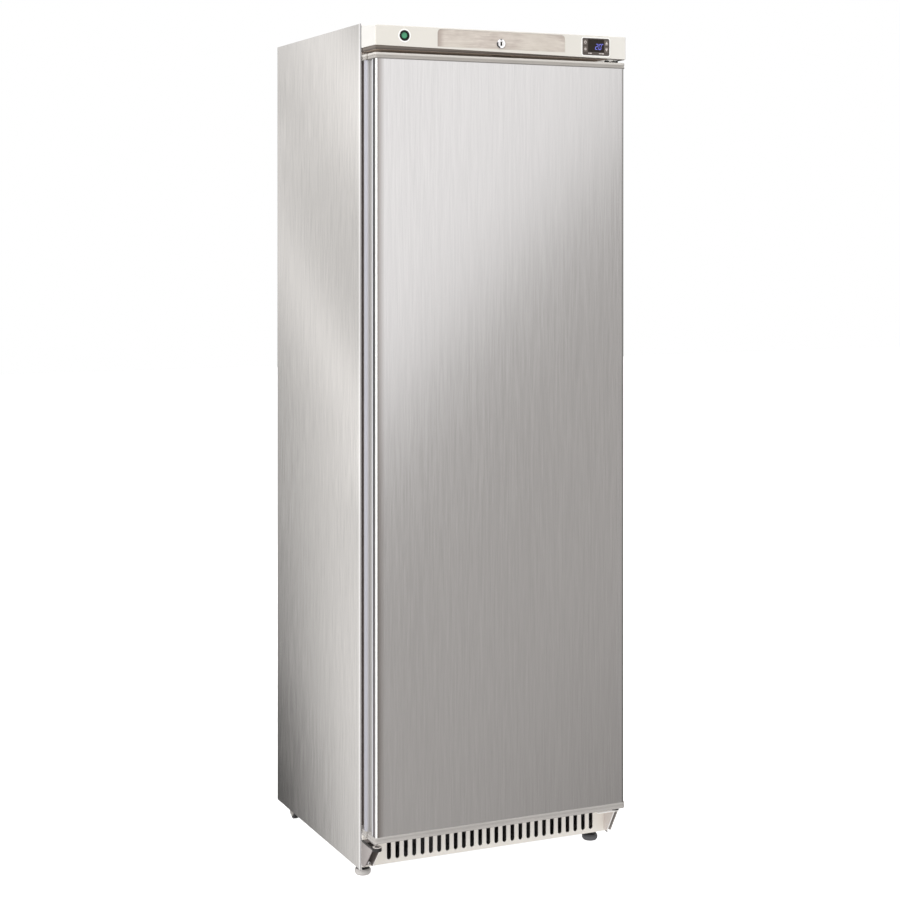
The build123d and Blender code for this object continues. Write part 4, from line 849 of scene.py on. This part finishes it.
def rounded(x0, x1, z0, z1, r, seg=6):
    pts = []
    for cx, cz, a0 in ((x1 - r, z1 - r, 0), (x0 + r, z1 - r, 90), (x0 + r, z0 + r, 180), (x1 - r, z0 + r, 270)):
        for k in range(seg + 1):
            a = math.radians(a0 + 90 * k / seg)
            pts.append((cx + r * math.cos(a), cz + r * math.sin(a)))
    return pts


# moulded collars round the switch and the controller
bm = bmesh.new()
ring_outline(bm, -232.7, 1779.6, 14.2, 11.35, -78.98, -79.35, seg=64)
outer = rounded(187.6, 259.2, 1754.1, 1796.1, 5.6)
inner = rounded(189.9, 256.9, 1756.4, 1793.8, 3.6)
loops = []
for pts, d in ((outer, -78.98), (outer, -79.35), (inner, -79.35), (inner, -78.98)):
    loops.append([bm.verts.new(P(x, d, z)) for x, z in pts])
for a in range(4):
    b = (a + 1) % 4
    for j in range(len(outer)):
        k = (j + 1) % len(outer)
        bm.faces.new((loops[a][j], loops[a][k], loops[b][k], loops[b][j]))
add_object("header_collars", bm, "collar", "cabinet")

# raised rims round the grille's slots
bm = bmesh.new()
for k in range(26):
    cx = -235.0 + 19.57 * k
    za, zb = 38.5 + 4.9, 88.0 - 4.9
    loops = []
    for r, d in ((4.9, -1.52), (4.95, -1.9), (5.35, -2.15), (5.9, -2.05), (6.35, -1.52)):
        pts = []
        for j in range(13):
            a = math.pi * j / 12
            pts.append(P(cx + r * math.cos(a), d, zb + r * math.sin(a)))
        for j in range(13):
            a = math.pi + math.pi * j / 12
            pts.append(P(cx + r * math.cos(a), d, za + r * math.sin(a)))
        loops.append([bm.verts.new(p) for p in pts])
    m = len(loops[0])
    for a in range(len(loops)):
        b = (a + 1) % len(loops)
        for j in range(m):
            i2 = (j + 1) % m
            bm.faces.new((loops[a][j], loops[a][i2], loops[b][i2], loops[b][j]))
add_object("grille_slot_rims", bm, "rim", "cabinet", smooth=40)

# ------------------------------------------------------------------ stage
floor_bm = bmesh.new()
bmesh.ops.create_grid(floor_bm, x_segments=8, y_segments=8, size=14.0)
floor_mesh = bpy.data.meshes.new("floor")
floor_bm.to_mesh(floor_mesh)
floor_bm.free()
floor = bpy.data.objects.new("floor", floor_mesh)
scene.collection.objects.link(floor)
fm, fb, fn = new_material("pale_floor", roughness=0.95, spec=0.1, emission_color=(1.0, 1.0, 1.0), emission=0.9)
fc = fn.coord()
fn.link(fn.mix(fn.remap(fn.noise(fn.mapping(scale=(1.5, 1.5, 1.5), vector=fc)), 0.3, 0.7), (0.86, 0.86, 0.86), (0.87, 0.87, 0.87)), fb.inputs["Base Color"])
floor_mesh.materials.append(fm)
floor.visible_glossy = False
floor.visible_diffuse = False

# soft reflector that the left side sheet mirrors, seen only in reflections
card_bm = bmesh.new()
corners = [(-1.0, 0.3, -2.4), (-1.0, 4.6, -2.4), (-1.0, 4.6, 3.6), (-1.0, 0.3, 3.6)]
SIDE_BANDS = [(-160.0, 0.482), (-80.0, 1.372), (0.0, 0.964), (60.0, 0.784), (150.0, 0.727), (205.0, 0.677), (245.0, 1.815), (290.0, 0.808)]
SIDE_REAR = [(0.0, -0.519), (0.35, 0.094), (0.7, 0.126), (1.1, 0.0)]
SIDE_FRONT = (1.062, 1.597)
SIDE_POWER = 0.951
SIDE_SHARE = (109.6, 810.3)
card_bm.faces.new([card_bm.verts.new(c) for c in corners])
card_mesh = bpy.data.meshes.new("side_reflector")
card_bm.to_mesh(card_mesh)
card_bm.free()
card = bpy.data.objects.new("side_reflector", card_mesh)
scene.collection.objects.link(card)
cm = bpy.data.materials.new("side_reflector")
cm.use_nodes = True
cm.node_tree.nodes.clear()
C = Net(cm.node_tree)
co = C.xyz(C.coord())
# u runs from the sheet's front edge to its rear edge, v is the height on the sheet that mirrors the card
cu = C.math("DIVIDE", C.math("SUBTRACT", co["Y"], 1.494), 0.783)
cuc = C.math("MINIMUM", C.math("MAXIMUM", cu, 0.0), 1.0)
cv = C.math("ADD", C.math("MULTIPLY", C.math("SUBTRACT", co["Z"], 1.36), 0.671), 1.36)
# slanting bands of light towards the top
drop = C.math("MULTIPLY", C.math("SUBTRACT", 1.3595, cv), C.math("SUBTRACT", 474.0, C.math("MULTIPLY", cuc, 53.0)))
slant = C.math("ADD", C.math("ADD", drop, C.math("MULTIPLY", C.math("MINIMUM", C.math("MAXIMUM", cu, -0.3), 1.6), 172.0)), 79.1)
bands = C.curve(slant, -160.0, 290.0, SIDE_BANDS, 2.0)
# below them an even front edge and a rear that falls away towards the floor
rear = C.math("SUBTRACT", C.curve(cv, 0.0, 1.1, [(a, b + 0.6) for a, b in SIDE_REAR], 2.0), 0.6)
front = C.math("ADD", C.math("MULTIPLY", C.math("DIVIDE", cv, 1.4, clamp=True), SIDE_FRONT[1] - SIDE_FRONT[0]), SIDE_FRONT[0])
lower = C.math("ADD", front, C.math("MULTIPLY", C.math("SUBTRACT", rear, front), C.math("POWER", cuc, SIDE_POWER)))
share = C.remap(slant, SIDE_SHARE[0], SIDE_SHARE[1], 0.0, 1.0, smooth=True)
level = C.math("MAXIMUM", C.math("ADD", bands, C.math("MULTIPLY", C.math("SUBTRACT", lower, bands), share)), 0.0)
edge = C.math("MULTIPLY", C.remap(co["Y"], 0.3, 0.8, 0.0, 1.0, smooth=True), C.remap(co["Y"], 3.6, 4.6, 1.0, 0.0, smooth=True))
em = C.node("ShaderNodeEmission")
em.inputs["Color"].default_value = (1.0, 0.985, 0.965, 1.0)
C.link(level, em.inputs["Strength"])
tr = C.node("ShaderNodeBsdfTransparent")
mx = C.node("ShaderNodeMixShader")
C.link(edge, mx.inputs[0])
C.link(tr.outputs[0], mx.inputs[1])
C.link(em.outputs[0], mx.inputs[2])
co_out = C.node("ShaderNodeOutputMaterial")
C.link(mx.outputs[0], co_out.inputs[0])
card_mesh.materials.append(cm)
card.visible_camera = False
card.visible_diffuse = False
card.visible_shadow = False
card.visible_transmission = False
card.visible_volume_scatter = False

# world: white for the eye, a soft studio in the steel, even light for the rest
world = bpy.data.worlds.new("studio")
scene.world = world
world.use_nodes = True
wt = world.node_tree
wt.nodes.clear()
W = Net(wt)
tc = W.node("ShaderNodeTexCoord").outputs["Generated"]
dot = W.node("ShaderNodeVectorMath", operation="DOT_PRODUCT")
dot.inputs[1].default_value = (-0.637, -0.412, 0.6516)
W.link(tc, dot.inputs[0])
wx = W.xyz(tc)
bright = W.remap(dot.outputs["Value"], 0.056, 0.073, 0.0, 1.0, smooth=True)
right = W.remap(wx["X"], 0.654, 0.831, 0.0, 1.0, smooth=True)
dark_col = W.mix(right, (0.520, 0.499, 0.485), (0.380, 0.357, 0.343))
corner = W.remap(W.math("SUBTRACT", wx["X"], W.math("MULTIPLY", wx["Z"], 0.824)), 0.633, 0.864, 0.0, 1.0, smooth=True)
dark_col = W.mix(corner, dark_col, (0.205, 0.193, 0.185))
high_col = W.mix(W.remap(wx["X"], 0.147, 0.528, 0.0, 1.0, smooth=True), (1.226, 1.204, 1.210), (1.172, 1.153, 1.157))
env = W.mix(bright, dark_col, high_col)
# a soft wall beyond the right side and the rear, out of the door's sight
beyond = W.math("MULTIPLY", W.remap(wx["Y"], -0.30, -0.02, 0.0, 1.0, smooth=True), W.remap(wx["X"], 0.05, 0.60, 0.0, 1.0, smooth=True))
wall = W.mix(W.remap(wx["Z"], -0.55, 0.45, 0.0, 1.0, smooth=True), (0.66, 0.65, 0.64), (1.02, 1.01, 1.00))
env = W.mix(beyond, env, wall)
bg_env = W.node("ShaderNodeBackground")
W.link(env, bg_env.inputs["Color"])
bg_env.inputs["Strength"].default_value = 1.0
bg_dif = W.node("ShaderNodeBackground")
W.link(W.mix(W.remap(wx["Z"], -0.25, 0.25, 0.0, 1.0, smooth=True), (0.90, 0.896, 0.892), (0.55, 0.547, 0.545)), bg_dif.inputs["Color"])
bg_dif.inputs["Strength"].default_value = 1.0
bg_cam = W.node("ShaderNodeBackground")
bg_cam.inputs["Color"].default_value = (1, 1, 1, 1)
bg_cam.inputs["Strength"].default_value = 1.0
lp = W.node("ShaderNodeLightPath")
m1 = W.node("ShaderNodeMixShader")
W.link(lp.outputs["Is Diffuse Ray"], m1.inputs[0])
W.link(bg_env.outputs[0], m1.inputs[1])
W.link(bg_dif.outputs[0], m1.inputs[2])
ms = W.node("ShaderNodeMixShader")
W.link(lp.outputs["Is Camera Ray"], ms.inputs[0])
W.link(m1.outputs[0], ms.inputs[1])
W.link(bg_cam.outputs[0], ms.inputs[2])
wo = W.node("ShaderNodeOutputWorld")
W.link(ms.outputs[0], wo.inputs[0])


def area(name, loc, target, size, power, color=(1, 1, 1), size_y=None, glossy=False):
    d = bpy.data.lights.new(name, "AREA")
    d.shape = "RECTANGLE"
    d.size = size
    d.size_y = size_y or size
    d.energy = power
    d.color = color
    o = bpy.data.objects.new(name, d)
    scene.collection.objects.link(o)
    o.location = loc
    o.rotation_euler = (Vector(target) - Vector(loc)).to_track_quat("-Z", "Y").to_euler()
    o.visible_glossy = glossy
    return o


area("key_left", (-4.2, -2.4, 3.0), (0, 0, 0.9), 2.6, 150)
area("front", (-0.6, -4.4, 2.6), (0, 0, 0.9), 2.6, 10)
area("fill_right", (3.4, -2.6, 2.2), (0, 0, 0.9), 2.6, 12)
area("overhead", (0, 0.2, 4.2), (0, 0, 0), 3.6, 55)
area("back", (0.5, 3.6, 2.6), (0, 0, 0.9), 2.6, 30)
